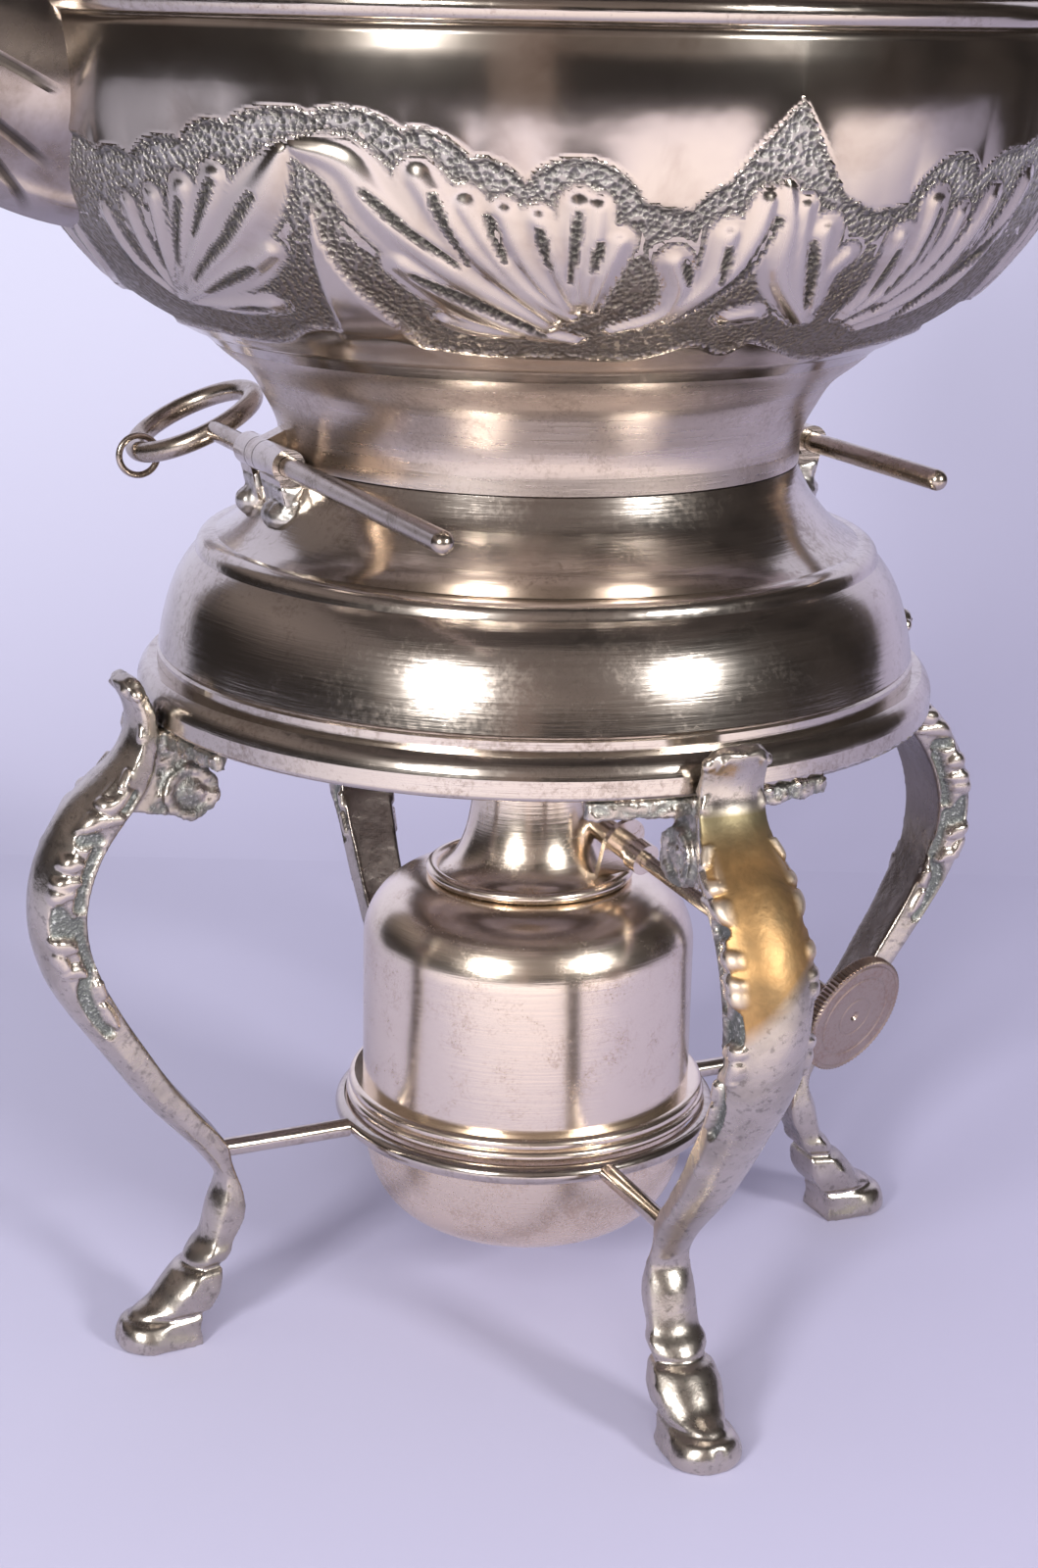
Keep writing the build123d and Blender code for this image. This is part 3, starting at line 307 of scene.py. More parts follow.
def leg_finish(name, worn=False):
    """Cast plate: grey where it is rough, a painted highlight on the crests, and rubbed to the brass where worn."""
    r = Recipe(name)
    recess, crest, front = r.attribute("recess"), r.attribute("crest"), r.attribute("front")
    cloud = r.noise(90.0, 4.0, 0.6, warp=0.3)
    pits = r.noise(620.0, 3.0, 0.65)
    color = r.mix(r.grade(cloud, 0.42, 0.72), (0.60, 0.54, 0.475), (0.40, 0.355, 0.31))
    color = r.mix(r.times(r.grade(pits, 0.56, 0.66), 0.5), color, (0.16, 0.145, 0.13))
    zone = None
    if worn:
        down, across = r.attribute("down"), r.attribute("across")
        edge = r.plus(down, r.times(across, 0.75))
        zone = r.times(r.grade(edge, 47.0, 43.5), r.grade(down, 10.5, 13.0))
        zone = r.times(zone, r.grade(front, 0.05, 0.4))
        rubbed = r.grade(r.noise(110.0, 4.0, 0.65, warp=0.4), 0.35, 0.65)
        gold = r.mix(rubbed, (0.50, 0.30, 0.13), (0.27, 0.175, 0.085))
        gold = r.mix(r.grade(down, 23.0, 14.0), gold, (0.20, 0.165, 0.095))
        color = r.mix(zone, color, gold)
    chalk = r.noise(1500.0, 2.0, 0.6)
    rough_spot = r.mix(r.grade(chalk, 0.55, 0.72), (0.20, 0.21, 0.20), (0.62, 0.63, 0.61))
    color = r.mix(recess, color, rough_spot)
    # Painted highlight: the crests of the carved lobes are lightened.
    color = r.mix(r.times(crest, 0.7), color, (0.70, 0.62, 0.54))
    color = r.mix(r.times(r.attribute("inner"), 0.85), color, (0.17, 0.14, 0.125))
    matt = r.plus(r.times(recess, 0.8), r.grade(cloud, 0.4, 0.8, 0.0, 0.25))
    rough = r.grade(matt, 0.0, 1.0, 0.24, 0.64)
    if zone is not None:
        rough = r.plus(rough, r.times(zone, 0.24))
    normal = r.bump(r.noise(260.0, 4.0, 0.6), 0.0004, 0.35)
    normal = r.bump(r.times(chalk, recess), 0.0004, 0.8, under=normal)
    return r.finish(color, rough, normal, Metallic=1.0)


def wood_finish():
    """Dark turned wood, with its grain along the grip."""
    r = Recipe("grip_wood")
    grain = r.noise(260.0, 6.0, 0.6, r.place(stretch=(0.08, 1.0, 1.0)), warp=1.2)
    color = r.mix(r.grade(grain, 0.3, 0.7), (0.022, 0.014, 0.010), (0.075, 0.045, 0.028))
    normal = r.bump(grain, 0.0001, 0.3)
    return r.finish(color, r.grade(grain, 0.3, 0.7, 0.22, 0.36), normal, Coat_Weight=0.3)


def bone_finish():
    """Yellowed bone with fine streaks."""
    r = Recipe("insulator_bone")
    streak = r.noise(700.0, 4.0, 0.6, r.place(stretch=(0.1, 1.0, 1.0)))
    color = r.mix(r.grade(streak, 0.35, 0.7), (0.80, 0.74, 0.60), (0.62, 0.53, 0.38))
    return r.finish(color, 0.32, r.bump(streak, 0.00005, 0.3), Subsurface_Weight=0.1)


def cotton_finish():
    """Plaited cotton."""
    r = Recipe("wick_cotton")
    wave = r.add("ShaderNodeTexWave", wave_type="BANDS", bands_direction="DIAGONAL")
    wave.inputs["Scale"].default_value = 420.0
    wave.inputs["Distortion"].default_value = 1.5
    r.join(r.place(), wave.inputs["Vector"])
    color = r.mix(wave.outputs["Fac"], (0.46, 0.41, 0.33), (0.74, 0.70, 0.61))
    return r.finish(color, 0.9, r.bump(wave.outputs["Fac"], 0.0004, 0.8), Sheen_Weight=0.3)


def paint(piece, material):
    """Give a piece this one material."""
    piece.data.materials.clear()
    piece.data.materials.append(material)


# Shaping helpers

def loose_mesh(name):
    """A free copy of a CAD node's mesh, in the row's frame, with its doubled corners merged."""
    mesh = bmesh.new()
    mesh.from_mesh(nodes[name].data)
    mesh.transform(nodes[name].matrix_world)
    bmesh.ops.remove_doubles(mesh, verts=mesh.verts, dist=2e-6)
    return mesh


def settle(name, mesh, smooth=True):
    """Turn a bmesh into an object in the scene."""
    bmesh.ops.recalc_face_normals(mesh, faces=mesh.faces)
    data = bpy.data.meshes.new(name)
    mesh.to_mesh(data)
    mesh.free()
    shade = data.shade_smooth if smooth else data.shade_flat
    shade()
    return in_scene(name, data)


def even_skin(piece, size):
    """Rebuild a closed piece's skin from even small faces, ready for carving."""
    remesh = piece.modifiers.new("even_skin", "REMESH")
    remesh.mode = "VOXEL"
    remesh.voxel_size = size
    remesh.use_smooth_shade = True
    data = bpy.data.meshes.new_from_object(piece.evaluated_get(bpy.context.evaluated_depsgraph_get()))
    bpy.data.objects.remove(piece)
    mesh = bmesh.new()
    mesh.from_mesh(data)
    bpy.data.meshes.remove(data)
    return mesh


def smoothed(mesh, rounds):
    """Even out a skin, a little in each round."""
    for _ in range(rounds):
        bmesh.ops.smooth_vert(mesh, verts=mesh.verts, factor=0.5, use_axis_x=True, use_axis_y=True, use_axis_z=True)


def spin_round(mesh, steps):
    """Spin a section all the way round the upright axis."""
    bmesh.ops.spin(
        mesh, geom=mesh.verts[:] + mesh.edges[:], cent=(0, 0, 0), axis=(0, 0, 1), angle=2 * pi, steps=steps,
        use_merge=True,
    )


def corners_of(mesh):
    """The corner points of a bmesh, in mm."""
    return np.array([vert.co for vert in mesh.verts]) / MM


def at_corners(data, key):
    """One vector for each corner point of a finished mesh."""
    flat = np.empty(len(data.vertices) * 3)
    data.vertices.foreach_get(key, flat)
    return flat.reshape(-1, 3)


def move_to(data, places):
    data.vertices.foreach_set("co", (places * MM).ravel())
    data.update()


def note(data, name, values):
    """Keep one number for each corner point, for the material to read."""
    data.attributes.new(name, "FLOAT", "POINT").data.foreach_set("value", np.ascontiguousarray(values, float))


def ease(value, low, high):
    """0 below low, 1 above high, and smooth between."""
    share = np.clip((value - low) / (high - low), 0, 1)
    return share * share * (3 - 2 * share)


def mound(share):
    """Soft mound: 1 in a stroke's middle and 0 at its edge."""
    return 0.5 + 0.5 * np.cos(pi * np.clip(share, 0, 1))


def dome_of(share):
    """Round dome: 1 in a stroke's middle and 0 at its edge."""
    return np.sqrt(np.clip(1 - share * share, 0, 1))


def bell(value, middle, spread):
    """1 at the middle, and less to both sides."""
    return np.exp(-((value - middle) / spread) ** 2)


def rounded(run, steps=5):
    """A run of points with its corners rounded."""
    points = np.array([run[0], *run, run[-1]], float)
    out = []
    for a, b, c, d in zip(points, points[1:], points[2:], points[3:]):
        for t in np.arange(steps) / steps:
            bend = (2 * a - 5 * b + 4 * c - d) * t**2 + (3 * b - a - 3 * c + d) * t**3
            out.append(0.5 * (2 * b + (c - a) * t + bend))
    return np.array([*out, points[-1]])


def widened(run, factor, extra):
    """The same run of points with other half widths."""
    return [(*point[:2], factor * point[2] + extra) for point in run]


def stroke_share(run, across, along, stretch=1.0, period=None):
    """How far each place is from a stroke's middle line, as a share of its half width there.
    The run's points are (across, along, half width). Across is multiplied by stretch into mm."""
    nearest = np.full(np.broadcast(across, along).shape, 9.0)
    run = rounded(run)
    for start, end in zip(run, run[1:]):
        shift = across - start[0]
        if period:
            shift = (shift + period / 2) % period - period / 2
        x, y = shift * stretch, along - start[1]
        dx, dy = (end[0] - start[0]) * stretch, end[1] - start[1]
        t = np.clip((x * dx + y * dy) / (dx * dx + dy * dy + 1e-9), 0, 1)
        gap = np.hypot(x - t * dx, y - t * dy)
        nearest = np.minimum(nearest, gap / (start[2] + t * (end[2] - start[2])))
    return nearest


# Chased band, which repeats three times round the bowl. Its points are bearings in degrees and mm up the wall,
# and the strokes' points also have half widths in mm.
BAND_PERIOD = 120.0
BAND_FIRST = -165.0
LOBES = [
    [(-167.2, 38.9, .9), (-167.3, 28.9, .9), (-163.8, 21.3, .5)],
    [(-161.8, 41, 1.1), (-163, 31.1, 1), (-163.5, 21.3, .5)],
    [(-157.2, 42.6, 1.2), (-159.5, 32.3, 1.1), (-163.3, 21.3, .5)],
    [(-152.5, 44.6, 1.5), (-155.9, 34.2, 1.2), (-163.1, 21.4, .5)],
    [(-148, 46.9, 1.5), (-152.5, 36, 1.4), (-162.7, 21.5, .5)],
    [(-139.8, 51.3, .8), (-143.5, 43.7, 2.7), (-150.1, 33.7, 2.3), (-162.1, 21.6, .7)],
    [(-143.7, 34.5, 1.5), (-149.4, 29.7, 2.3), (-161.3, 21.8, .7)],
    [(-147.2, 22.7, 1.3), (-153.2, 21.3, 1.4), (-162.3, 20.5, .5)],
    [(-138.5, 52, .7), (-133.6, 49.6, 2.4), (-130.3, 42.2, 3), (-123.6, 31.3, 2.6), (-114.4, 20.6, 1.3)],
    [(-126.6, 48.1, 2), (-124, 41.5, 2.1), (-119.5, 32.2, 1.7), (-113.7, 22.4, .9)],
    [(-122.3, 44, 1.9), (-120, 36.7, 1.7), (-116.6, 28.9, 1.2), (-112, 22.9, .6)],
    [(-118.7, 43.1, 1.4), (-117.2, 36.2, 1.4), (-114.9, 29.7, 1), (-111.7, 22.9, .6)],
    [(-115.5, 42.2, 1.4), (-113.9, 35.2, 1.4), (-111.4, 24.9, .7)],
    [(-111.8, 44.4, 1.7), (-111.8, 37.1, 1.4), (-111.1, 26.4, .8)],
    [(-110, 44, 1.4), (-110, 37.7, 1.3), (-110.4, 26.4, .8)],
    [(-107.7, 38.6, 1.5), (-108.7, 32.7, 1.3), (-109.8, 24.9, .7)],
    [(-129.1, 33.5, 2), (-124.9, 27.7, 2.4), (-118.1, 20.4, 1.8), (-110.9, 16.6, .8)],
    [(-125.9, 21.4, 1), (-122.4, 19.2, 1.1), (-117.1, 17.7, .7)],
    [(-101.9, 35, 1.6), (-100.5, 29.3, 1.6), (-101.8, 23.4, 1.2), (-107, 19.6, .6)],
    [(-96.9, 39.5, 1.9), (-97, 33, 1.8), (-98.8, 27.5, 1.3), (-104, 20.5, .6)],
    [(-93.6, 45.3, 1.3), (-94.3, 38.3, 2.1), (-96, 31.6, 1.6), (-100.9, 22.2, .7)],
    [(-91.9, 47.8, .5), (-90.8, 41.5, 2), (-89.6, 31.7, 2.1), (-83.5, 21.1, .7)],
    [(-89.5, 44.2, 1.2), (-88.7, 36.9, 1.3), (-86.7, 28, 1.2), (-82.5, 21, .6)],
    [(-86.6, 40, 1.9), (-85.6, 32.8, 1.5), (-83.1, 23.5, .7)],
    [(-82.6, 35.6, 1.2), (-84.1, 31.3, 1.1), (-82.9, 25.1, .6)],
    [(-76.4, 38.4, 1.6), (-75.8, 30.6, 1.4), (-77.3, 22.9, .7)],
    [(-73.3, 44.1, 1.8), (-72.8, 35.8, 1.7), (-73.7, 27.5, 1.3), (-77.4, 21.3, .6)],
    [(-68.5, 41.9, 1.3), (-68.9, 32.7, 1.4), (-72, 25, .9)],
    [(-63.7, 44.3, 1.6), (-65.1, 36.3, 1.6), (-67.5, 26, 1.3), (-74.8, 19.5, .6)],
    [(-57.3, 46.9, 1.4), (-59.2, 36.9, 1.5), (-61.9, 25.2, 1.2), (-72.6, 17.7, .6)],
    [(-93.6, 22.7, 1.1), (-90.8, 23.6, 1.3)],
]
# Raised wire scrolls between the leaves
RINGS = [
    [(-109.3, 32, .5), (-108.4, 26.4, .6), (-105.6, 24.1, .6), (-102.8, 25, .6), (-101.8, 29.3, .5)],
    [(-82.8, 27.7, .5), (-79.3, 25.5, .6), (-76.6, 27.1, .6), (-76.8, 31.4, .5)],
]
# Flutes cut into the leaves
FLUTES = [
    [(-169.7, 30.6), (-169.7, 24.8)], [(-158.7, 40.5), (-161.9, 28.4)], [(-153.3, 42.5), (-158.4, 29.7)],
    [(-148.3, 46.2), (-153.1, 36.5)], [(-143.8, 44.2), (-148.8, 36.4), (-157, 27.1)],
    [(-146.9, 30.9), (-156.5, 24.1)], [(-154.5, 20.3), (-148.8, 21.2)],
    [(-131.8, 45.8), (-127.9, 39.6), (-123.3, 33.6)], [(-125.3, 45.6), (-124.3, 41), (-122.4, 34)],
    [(-120.1, 42.3), (-118.7, 34.9)], [(-115.3, 40.3), (-114.3, 33.8)],
    [(-128.2, 31.4), (-121.5, 25.4), (-114.4, 18.3)], [(-111.7, 43.1), (-112.2, 31.3)],
    [(-109.5, 38), (-109.9, 33)], [(-100.6, 34.7), (-99.6, 30.3)], [(-96.6, 37.4), (-96.3, 30.9)],
    [(-92.1, 42.1), (-94.2, 31.9), (-97.7, 25.2)], [(-87.4, 38), (-84.3, 24.8)], [(-75.8, 36.1), (-76, 27)],
    [(-72.1, 42.8), (-72.3, 33.8), (-73.8, 26.8)], [(-66.2, 40.7), (-68.9, 29.8), (-72.9, 22.4)],
    [(-57.1, 42.2), (-62.1, 29.7), (-68, 19.9)],
]
# Upper edge as scallops: where each begins, and how far it bulges on the way to the next
BAND_TOP = [
    (-164.4, 48.6, 1.6), (-158.7, 48.3, 2.1), (-151.2, 51.3, 2.1), (-145.5, 54.2, 2.0), (-136.4, 56.2, 2.3),
    (-127.8, 54.1, 2.2), (-121.6, 50.3, 1.8), (-116.6, 46.8, 5.2), (-105.8, 44.8, -0.3), (-100.9, 43.5, 0.8),
    (-97.9, 47.3, 0.2), (-91.4, 59.9, -0.6), (-85.5, 45.6, -0.3), (-81.0, 42.8, 0.1), (-77.4, 43.7, 5.8),
    (-67.8, 47.4, 2.0), (-60.5, 51.5, 2.1), (-52.0, 51.0, 1.9), (-44.4, 48.6, 1.6),
]
BAND_FOOT = [
    (-164, 11), (-161.6, 9.8), (-151.7, 10.7), (-143.7, 17.1), (-134.1, 16.2), (-129.6, 13.6), (-122.7, 11.4),
    (-111.4, 10.5), (-102.8, 10.5), (-96.5, 15.3), (-90.9, 11.7), (-87.7, 15.6), (-75.1, 7.1), (-64.2, 8.7),
    (-56, 10),
]
# Plain tongue between two sprays
TONGUE = [
    (-137.5, 42.9, .3), (-137.7, 35.2, 1.4), (-137, 27, 3.1), (-136, 21, 4.7), (-135, 14, 6.8), (-135, 8, 7.5),
]
# The band's skin: start, end of the worked part and end, up the wall; columns and rows; how far out each side lies
BAND_START, WORKED_END, BAND_END = 3.0, 61.5, 70.6
BAND_COLUMNS, OUTER_ROWS, INNER_ROWS = 870, 110, 4
PLAIN_ROWS = 5
SKIN_OUT, SKIN_IN = 0.03, -0.6
# The bowl's wall in mm of height, and the spout's way through it in metres
WALL_LOW, WALL_HIGH = 190.35, 246.6
SPOUT_HEIGHT, SPOUT_HOLE = 0.238, 0.0098
# Heights and depths of the relief, in mm
TOP_SWELL, FOOT_SWELL, TONGUE_RISE, GROUND_RISE = 0.42, 0.30, 0.34, 0.05
LEAF_RISE, SCROLL_RISE, FLUTE_CUT, OUTLINE_CUT, EDGE_CUT = 0.36, 0.5, 0.5, 0.18, 0.22


def wall_profile(name, low, high):
    """Radius and height of a round node's outer skin, as smooth curves of the distance up it, in mm."""
    samples, degree = 240, 9
    wall = loose_mesh(name)
    tree = BVHTree.FromBMesh(wall)
    wall.free()
    heights = np.linspace(low, high, samples)
    radii = np.array([
        tree.ray_cast(Vector((0.0, 0.2, height * MM)), Vector((0, -1, 0)))[0].y / MM for height in heights
    ])
    rise = np.concatenate([[0], np.cumsum(np.hypot(np.diff(radii), np.diff(heights)))])
    return np.poly1d(np.polyfit(rise, radii, degree)), np.poly1d(np.polyfit(rise, heights, degree))


def scalloped(bearing):
    """Height of the band's scalloped upper edge at each bearing."""
    marks, heights = [], []
    for (start, low, bulge), (end, high, _) in zip(BAND_TOP, BAND_TOP[1:]):
        for t in np.linspace(0, 1, 14, endpoint=False):
            marks.append(start + t * (end - start))
            heights.append(low + t * (high - low) + bulge * (1 - (2 * t - 1) ** 2) ** 0.7)
    return np.interp(bearing, marks, heights, period=BAND_PERIOD)


def drop_shaped(line):
    """A flute's run from its round upper end to its thin lower end, with half widths."""
    line = sorted(line, key=lambda point: -point[1])
    shares = np.linspace(0, 1, 5)
    marks = np.linspace(0, 1, len(line))
    across, along = (np.interp(shares, marks, values) for values in zip(*line))
    return list(zip(across, along, (0.68, 0.95, 0.8, 0.55, 0.25)))


def band_relief(bearing, rise, radius):
    """Height of the chasing over the wall, with how much of it is matted ground, painted shade in the grooves and
    painted highlight on the crests.
    """
    turn = radians(1.0) * radius

    def from_run(run):
        return stroke_share(run, bearing, rise, turn, BAND_PERIOD)

    local = (bearing - BAND_FIRST) % BAND_PERIOD + BAND_FIRST
    above = scalloped(local) - rise
    foot_line = rounded([(*point, 0) for point in BAND_FOOT], 4)
    below = rise - np.interp(local, foot_line[:, 0], foot_line[:, 1], period=BAND_PERIOD)
    plain = 1 - ease(from_run(TONGUE), 0.85, 1.2)
    ground = ease(above, -0.3, 0.6) * ease(below, -0.4, 0.7) * (1 - plain)
    edge_line = ease(above, -0.8, -0.2) * ease(above, 1.3, 0.5)
    swell = TOP_SWELL * np.exp(-np.clip(-above, 0, 60) / 3.5) + FOOT_SWELL * np.exp(-np.clip(-below, 0, 60) / 3.0)
    height = (swell + TONGUE_RISE * plain * ease(rise, 8, 16)) * (1 - ground) + GROUND_RISE * ground

    # Leaves, scrolls between them and flutes cut into them
    raised, body, scroll, groove_painted_shade = (np.zeros_like(height) for _ in range(4))
    for lobe in LOBES:
        widest = max(point[2] for point in lobe)
        share = from_run(widened(lobe, 1.2, 0.35))
        raised = np.maximum(raised, min(0.22 + 0.26 * widest, 0.72) * mound(share))
        body = np.maximum(body, 1 - ease(share, 1.2, 1.9))
    for ring in RINGS:
        scroll = np.maximum(scroll, SCROLL_RISE * mound(from_run(widened(ring, 1.0, 0.3))))
    for line in FLUTES:
        groove_painted_shade = np.maximum(groove_painted_shade, 1 - ease(from_run(drop_shaped(line)), 0.55, 1.15))
    height = np.maximum.reduce([height, LEAF_RISE * body + raised, scroll]) - FLUTE_CUT * groove_painted_shade
    # How high the leaves stand, for the painted highlight on their crests.
    crest = np.clip(raised / 0.6, 0, 1)

    # Lines cut round the leaves and along the scallops. The dark mask is painted shade in the flutes and in these
    # lines.
    outline = np.clip(4 * body * (1 - body), 0, 1) * ground
    dark = np.maximum.reduce([groove_painted_shade, 0.9 * edge_line * (1 - body) * (1 - plain), 0.75 * outline])
    height = height - OUTLINE_CUT * outline - EDGE_CUT * edge_line * (1 - body)
    fade = ease(rise, BAND_START, BAND_START + 2.0) * ease(BAND_END - rise, 0, 4.0)
    return np.clip(height, 0, None) * fade, ground * (1 - ease(body, 0.2, 0.8)) * fade, dark * fade, crest * fade


def chased_band():
    """Thin skin round the bowl with the leaf sprays raised on a matted ground."""
    radius_at, height_at = wall_profile("kettle_bowl", WALL_LOW, WALL_HIGH)
    radius_slope, height_slope = radius_at.deriv(), height_at.deriv()
    rises = np.concatenate([
        np.linspace(BAND_START, WORKED_END, OUTER_ROWS - PLAIN_ROWS)[:-1],
        np.linspace(WORKED_END, BAND_END, PLAIN_ROWS + 1),
    ])
    inner = np.linspace(BAND_END, BAND_START, INNER_ROWS)

    def skin(rise, lift):
        size = np.hypot(radius_slope(rise), height_slope(rise))
        return radius_at(rise) + lift * height_slope(rise) / size, height_at(rise) - lift * radius_slope(rise) / size

    section = bmesh.new()
    count = len(rises) + len(inner)
    row_of = section.verts.layers.int.new("row")
    loop = bmesh.ops.create_circle(section, segments=count, radius=1)["verts"]
    profile = list(zip(*skin(rises, SKIN_OUT))) + list(zip(*skin(inner, SKIN_IN)))
    for index, (vert, (radius, height)) in enumerate(zip(loop, profile)):
        vert.co = Vector((radius, 0, height)) * MM
        vert[row_of] = index
    spin_round(section, BAND_COLUMNS)
    # Way through to the spout
    hole = []
    for face in section.faces:
        x, y, z = face.calc_center_median()
        if x < 0 and np.hypot(y, z - SPOUT_HEIGHT) < SPOUT_HOLE:
            hole.append(face)
    bmesh.ops.delete(section, geom=hole, context="FACES")
    rim = [edge for edge in section.edges if edge.is_boundary]
    bmesh.ops.bridge_loops(section, edges=rim)
    band = settle("kettle_bowl_chasing", section)

    data = band.data
    places = at_corners(data, "co") / MM
    rows = np.empty(len(places), int)
    data.attributes["row"].data.foreach_get("value", rows)
    outer = rows < len(rises)
    rise = rises[np.where(outer, rows, 0)]

    # One repeat is worked out, and each corner point takes its value from it
    columns = BAND_COLUMNS // 3
    bearing = np.arange(columns) * BAND_PERIOD / columns
    worked = band_relief(bearing[None, :], rises[:, None], radius_at(rises)[:, None])
    column = np.rint(np.degrees(np.arctan2(places[:, 1], places[:, 0])) * columns / BAND_PERIOD).astype(int) % columns
    relief, ground, groove_painted_shade, crest = (values[np.where(outer, rows, 0), column] for values in worked)
    size = np.hypot(radius_slope(rise), height_slope(rise))
    out, up = height_slope(rise) / size, -radius_slope(rise) / size
    ring = np.hypot(places[:, 0], places[:, 1])
    lift = np.where(outer, relief, 0)
    places[:, 0] *= 1 + lift * out / ring
    places[:, 1] *= 1 + lift * out / ring
    places[:, 2] += lift * up
    move_to(data, places)
    for name, values in (("ground", ground), ("groove_painted_shade", groove_painted_shade), ("crest", crest)):
        note(data, name, np.where(outer, values, 0))

    paint(band, chased_finish())
    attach(band, "kettle")


# Legs, carved from the plain castings. The line runs down the leg's middle: radius and height in mm.
LEG_LINE = [
    (81.6, 133), (80.5, 131), (78.7, 127.4), (78.4, 122.6), (79.8, 117.8), (83.4, 112.8), (88.6, 107.2),
    (92.4, 100.8), (94.8, 92.2), (93.9, 82), (87.4, 68.5), (82.6, 61), (75.4, 50.5), (66.7, 40),
    (63.3, 30), (65.8, 20.5), (67.9, 16.2), (70.3, 12.2), (73.2, 8), (75.4, 4.4), (78, 0),
]
# Strokes on the sides: distance outwards from the line, distance down it and half width, in mm
SIDE_RECESSES = [
    [(0.7, 33.1, 1.3), (-1.6, 31.7, 1.5)], [(-2.7, 33.5, 1.1), (-2.9, 41.3, 1.0), (-3.0, 46.0, 1.3)],
    [(0.8, 46.7, 1.5), (0.0, 49.2, 2.5), (-0.1, 51.0, 2.3)],
    [(-2.8, 48.9, 1.3), (-3.3, 56.3, 1.1), (-3.2, 59.5, 1.2)],
    [(-2.0, 60.9, 1.3), (-0.2, 63.0, 1.5), (0.4, 65.9, 1.4), (0.4, 69.5, 1.3), (0.0, 72.9, 1.2)],
    [(-2.2, 24.0, 1.0), (-2.0, 21.0, 0.8)],
]
SIDE_LOBES = [
    [(4.6, 34.4, .8), (3.3, 31.0, 1.7), (0.1, 28.5, 1.5), (-2.6, 25.8, .9)],
    [(4.4, 28.0, 1.0), (3.7, 24.4, 1.6), (3.2, 19.4, 1.2)], [(2.4, 26.0, 1.2), (0.1, 24.8, 1.5), (-0.2, 21.5, .9)],
    [(1.0, 21.2, .8), (1.5, 18.4, .6)], [(2.9, 37.9, 1.2), (0.5, 37.3, 1.6), (-1.0, 37.0, .7)],
    [(2.8, 41.8, .9), (0.2, 41.2, 1.5), (-1.7, 40.3, .7)], [(2.1, 43.6, 1.5), (-0.7, 42.8, 1.2)],
    [(2.5, 52.0, .8), (-0.3, 53.2, 1.6), (-1.7, 54.2, .7)], [(1.7, 55.2, 1.5), (0.8, 57.2, 1.0)],
    [(1.3, 58.0, .9), (-0.8, 58.7, 1.4), (-1.6, 60.1, .7)], [(-3.0, 63.6, 1.0), (-2.6, 66.0, .9)],
    [(-1.7, 67.9, .9), (-1.6, 70.6, 1.2), (-1.7, 72.7, .6)],
    [(1.5, 1.4, .6), (1.9, 3.4, .8)], [(1.9, 5.2, .6), (2.1, 7.2, .8)], [(1.7, 9.4, .9), (1.4, 11.2, .9)],
    [(-0.2, 2.9, 1.1), (-0.2, 3.1, 1.1)],
]
# Distance down the leg's line and half its width there, in mm
LEG_HALF_WIDTHS = [
    (0, 3.4), (6, 6.2), (16, 6.8), (30, 8), (46, 7.8), (57, 7.3), (72, 6.3), (93, 5.4), (117, 4.4), (127, 4.9),
    (132, 5.5), (142, 6.1), (151, 6.4),
]
LEG_TURNS = {"leg_right": 0, "leg_back": 90, "leg_left": 180, "leg_front": 270}
# Eye of the scroll, as radius and height in mm, and sizes of the even faces in metres
SCROLL_EYE = (70.2, 111.6)
LEG_FACE, SOLDER_FACE = 0.00045, 0.0004


def along_leg(radius, height):
    """For each place: distance down the leg's line and distance outwards from it."""
    line = rounded([(*point, 0) for point in LEG_LINE], 12)[:, :2]
    steps = np.diff(line, axis=0)
    sizes = np.hypot(*steps.T)
    starts = np.concatenate([[0], np.cumsum(sizes)])
    best = np.full(len(radius), 1e9)
    down, out = np.zeros(len(radius)), np.zeros(len(radius))
    for point, step, size, start in zip(line, steps, sizes, starts):
        if size < 1e-6:
            continue
        x, z = radius - point[0], height - point[1]
        t = np.clip((x * step[0] + z * step[1]) / size**2, 0, 1)
        gap = np.hypot(x - t * step[0], z - t * step[1])
        near = gap < best
        best[near] = gap[near]
        down[near] = (start + t * size)[near]
        out[near] = ((z * step[0] - x * step[1]) / size)[near]
    return down, out


def lumps(places, scale, seed):
    """Uneven cast or soldered skin, from -1 to 1."""
    return np.array([noise.fractal(Vector(place) * scale + Vector((seed, 0, 0)), 0.8, 2.0, 3) for place in places])


def side_carving(out, down, side):
    """How far the recesses and the lobes of a leg's side reach at each place, from 0 to 1."""
    recess, lobe = np.zeros(len(out)), np.zeros(len(out))
    for run in SIDE_RECESSES:
        recess = np.maximum(recess, 1 - ease(stroke_share(run, out, down), 0.75, 1.1))
    for run in SIDE_LOBES:
        lobe = np.maximum(lobe, dome_of(stroke_share(run, out, down)))
    return recess * (1 - ease(lobe, 0, 0.5)) * side, lobe * side


def hoof_lift(lateral, height, facing):
    """How far the fetlock's ledge, the pastern and the cloven hoof stand out or in, in mm."""
    ledge = 0.55 * bell(height, 18.2, 1.3) - 0.95 * bell(height, 15.6, 0.75)
    pastern = 0.35 * bell(height, 10.6, 2.6) - 0.85 * bell(height, 6.2, 0.7)
    hoof = 0.35 * ease(height, 5.2, 0.6) - 0.5 * bell(lateral, 0, 0.9) * ease(height, 6, 3) * (facing > 0.2)
    return (ledge + pastern + hoof) * ease(height, 26, 22) * ease(height, 0.0, 1.2)


